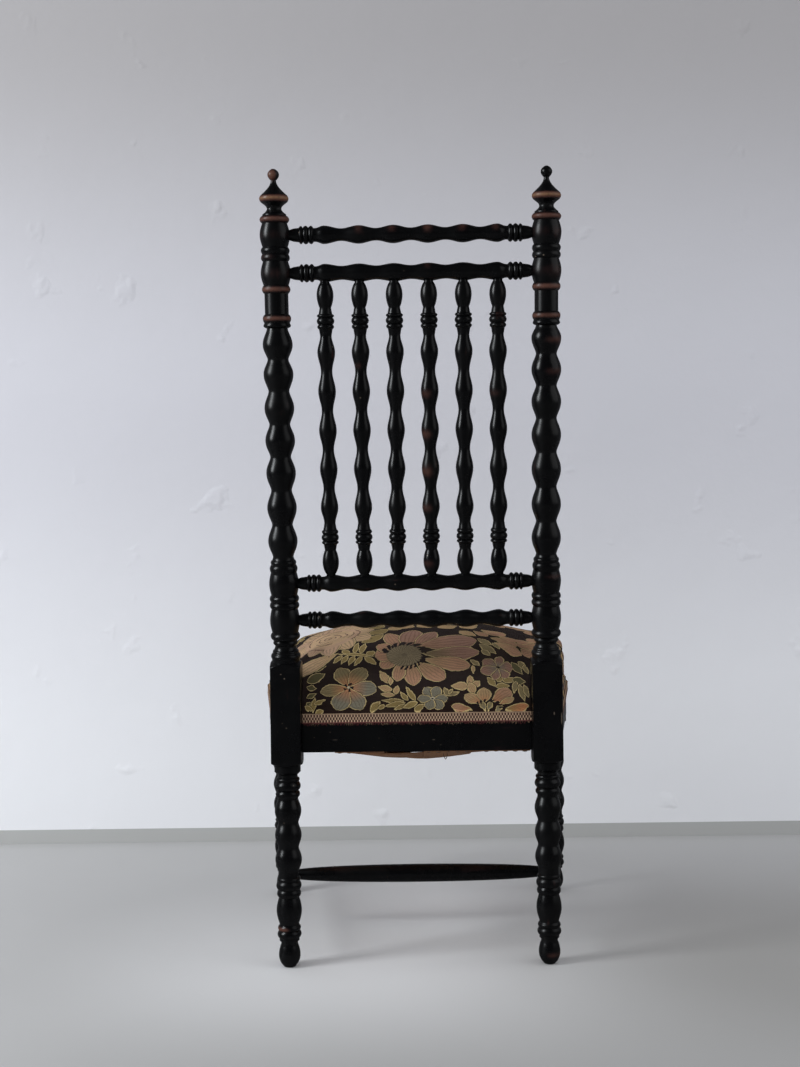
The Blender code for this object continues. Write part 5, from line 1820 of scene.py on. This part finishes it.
def braid_finish():
    """Pale zigzag with three offset rows of dark lozenges, pale cords and a maroon foot."""
    look = Finish("woven_braid")
    split = look.split(look.attribute("braid", "Vector"))
    along, across = split["X"], split["Y"]
    place = look.position()
    fibre = look.noise(place, 1400.0, 2.0)
    fade = look.noise(place, 26.0, 3.0)
    colour = look.mix(fade, shade(176, 146, 122), shade(222, 188, 156))
    for middle, phase in BRAID_ROWS:
        beat = look.weighted(along, 1 / BRAID_PITCH, phase)
        beat = look.times(look.math("PINGPONG", beat, 0.5), 2.0 / LOZENGE_LENGTH)
        reach = look.math("ABSOLUTE", look.math("SUBTRACT", across, middle))
        size = look.math("MAXIMUM", beat, look.math("DIVIDE", reach, LOZENGE_HALF_HEIGHT))
        size = look.weighted(fibre, 0.5, size)
        colour = look.mix(look.ramp(size, 1.42, 1.08), colour, shade(54, 30, 28))
    twist = look.math("SINE", look.times(along, math.tau / BRAID_TWIST))
    # Painted shade: the top cord is darker in the grooves of its twist and paler on its strands
    pale = look.mix(look.ramp(twist, -0.6, 0.6), shade(122, 98, 80), shade(176, 150, 122))
    colour = look.mix(look.math("GREATER_THAN", across, 0.90), colour, pale)
    foot = look.weighted(fibre, 0.06, across)
    colour = look.mix(look.ramp(foot, 0.17, 0.12), colour, shade(98, 50, 52))
    colour = look.mix(look.times(fibre, 0.25), colour, shade(150, 122, 102))
    height = look.weighted(twist, 0.3, fibre)
    return look.surface(colour, 0.92, height, 0.0004, 0.2)


# Small things: tacks, a hanging staple, loose fibres and torn threads

def tack_points(place, sides=12, rings=4):
    """A low domed head that looks straight down."""
    turn = Vector((0, 0, -1)).to_track_quat("Z", "Y").to_matrix()
    points = []
    for ring in range(rings):
        angle = math.pi / 2 * ring / rings
        reach = TACK_RADIUS * math.cos(angle)
        height = TACK_RISE * math.sin(angle)
        for k in range(sides):
            around = math.tau * k / sides
            local = Vector((reach * math.cos(around), reach * math.sin(around), height))
            points.append(place + turn @ local)
    points.append(place + turn @ Vector((0, 0, TACK_RISE)))
    last = (rings - 1) * sides
    cap = [(last + k, last + (k + 1) % sides, len(points) - 1) for k in range(sides)]
    return points, tube_faces(rings, sides)[:-1] + cap


def gathered(parts):
    """Many small closed shapes as one list of points and faces."""
    points, faces = [], []
    for some_points, some_faces in parts:
        start = len(points)
        points += some_points
        faces += [tuple(start + k for k in face) for face in some_faces]
    return points, faces


def stagger(x, step, y):
    """How far a tack was driven in beside its row."""
    return TACK_STAGGER * hand.noise(Vector((x * 50, step * 900, y)))


def make_tacks(steel):
    """Five tacks through the end of each strap, into the underside of its rail."""
    long_places, cross_places = strap_places()
    heads = []
    for step in np.linspace(-TACK_SPREAD, TACK_SPREAD, TACKS_ACROSS) * STRAP_WIDTH:
        for x in long_places:
            for y in (REAR_OPENING + TACK_FROM_EDGE, FRONT_OPENING - TACK_FROM_EDGE):
                heads.append((x + step, y + stagger(x, step, y)))
        for y in cross_places:
            for side in (1, -1):
                x = side * (side_inner(y + step) + TACK_FROM_EDGE)
                heads.append((x, y + step + stagger(x, step, y)))
    low = RAIL_BOTTOM - FIT - STRAP_THICKNESS - STRAP_WEAVE_GAP / 2
    tacks = gathered([tack_points(Vector((x, y, low))) for x, y in heads])
    piece_of("webbing_tacks", *tacks, steel, "spring_steel", sharp=70.0)


def make_staple(steel):
    """One staple has worked loose and hangs by its legs from the webbing."""
    x, y = STAPLE_PLACE
    top = webbing_height(x, y) - STRAP_THICKNESS / 2
    route = [Vector((x + across, y, top - drop)) for across, drop in STAPLE_SHAPE]
    piece_of("hanging_staple", *thread_parts(route, STAPLE_RADIUS, 8), steel, "spring_steel")


def hanging(start, length, lean, seed):
    """A thread that hangs from a point and curls a little."""
    route = []
    for along in (k / THREAD_STEPS for k in range(THREAD_STEPS + 1)):
        aside = hand.noise(Vector((seed, along * 2, 0)))
        back = hand.noise(Vector((0, along * 2, seed)))
        curl = Vector((aside, back, 0)) * length * 0.5 * along
        route.append(start + Vector((lean * along, 0, -length * along)) + curl)
    return route


def make_threads(jute, maroon):
    """Torn threads under the rear braid, and fibres that stand off the edges of the webbing."""
    parts = []
    low = RAIL_TOP - SKIRT_BELOW_RAIL_TOP
    face = CHAIR_Y + REAR_RAIL_FACE + FIT + COVER_THICKNESS + FIT + GIMP_THICKNESS / 2
    reach = REAR_X - STOCK / 2 - TORN_FROM_BLOCK
    for k in range(BRAID_THREADS):
        chance = hand.noise(Vector((k * 3.7, 1.3, 0)))
        x = -reach + 2 * reach * (k + 0.5 + 0.4 * chance) / BRAID_THREADS
        longer = max(0.0, 0.35 + hand.noise(Vector((k * 0.31, 5.1, k * 0.9))))
        length = TORN_SHORTEST + TORN_LONGER * longer
        start = Vector((x, face, low + TORN_START))
        route = hanging(start, length, TORN_LEAN * chance, k * 1.7)
        parts.append(thread_parts(route, BRAID_THREAD_RADIUS, 5))
    piece_of("torn_braid_threads", *gathered(parts), maroon, "gimp_braid")
    parts = []
    for k, (x, y, length, lean) in enumerate(FIBRES):
        start = Vector((x, y, webbing_height(x, y) if y < REAR_OPENING else RAIL_BOTTOM))
        parts.append(thread_parts(hanging(start, length, lean, k * 2.3), FIBRE_RADIUS, 5))
    piece_of("loose_jute_fibres", *gathered(parts), jute, "jute")


def thread_finish(name, first, second):
    look = Finish(name)
    place = look.position()
    twist = look.noise(place, 2200.0, 2.0)
    kind = look.ramp(look.noise(place, 120.0, 1.0), 0.46, 0.54)
    colour = look.mix(kind, first, second)
    colour = look.mix(look.times(twist, 0.5), colour, shade(60, 40, 34))
    return look.surface(colour, 0.95, twist, 0.0002, 0.2)


def build():
    scene = bpy.context.scene
    scene.view_settings.view_transform = "Standard"
    make_camera()
    make_room()
    make_lamps()
    turned_wood = wood_finish("ebonised_turnings", True)
    sawn_wood = wood_finish("ebonised_sawn_wood", False)
    make_turnings(turned_wood)
    make_sawn_wood(sawn_wood)
    jute = jute_finish("jute_webbing", 0.0021, shade(158, 112, 82), shade(116, 80, 60))
    canvas = jute_finish("spring_canvas_cloth", 0.0012, shade(160, 130, 94), shade(128, 100, 72))
    steel = steel_finish()
    make_webbing(jute)
    make_canvas(canvas)
    make_springs(steel)
    make_cushion(tapestry_finish())
    make_braid(braid_finish())
    make_tacks(steel)
    make_staple(steel)
    maroon = thread_finish("torn_threads", shade(120, 62, 64), shade(160, 128, 104))
    make_threads(thread_finish("jute_fibres", shade(170, 120, 80), shade(196, 150, 104)), maroon)


build()
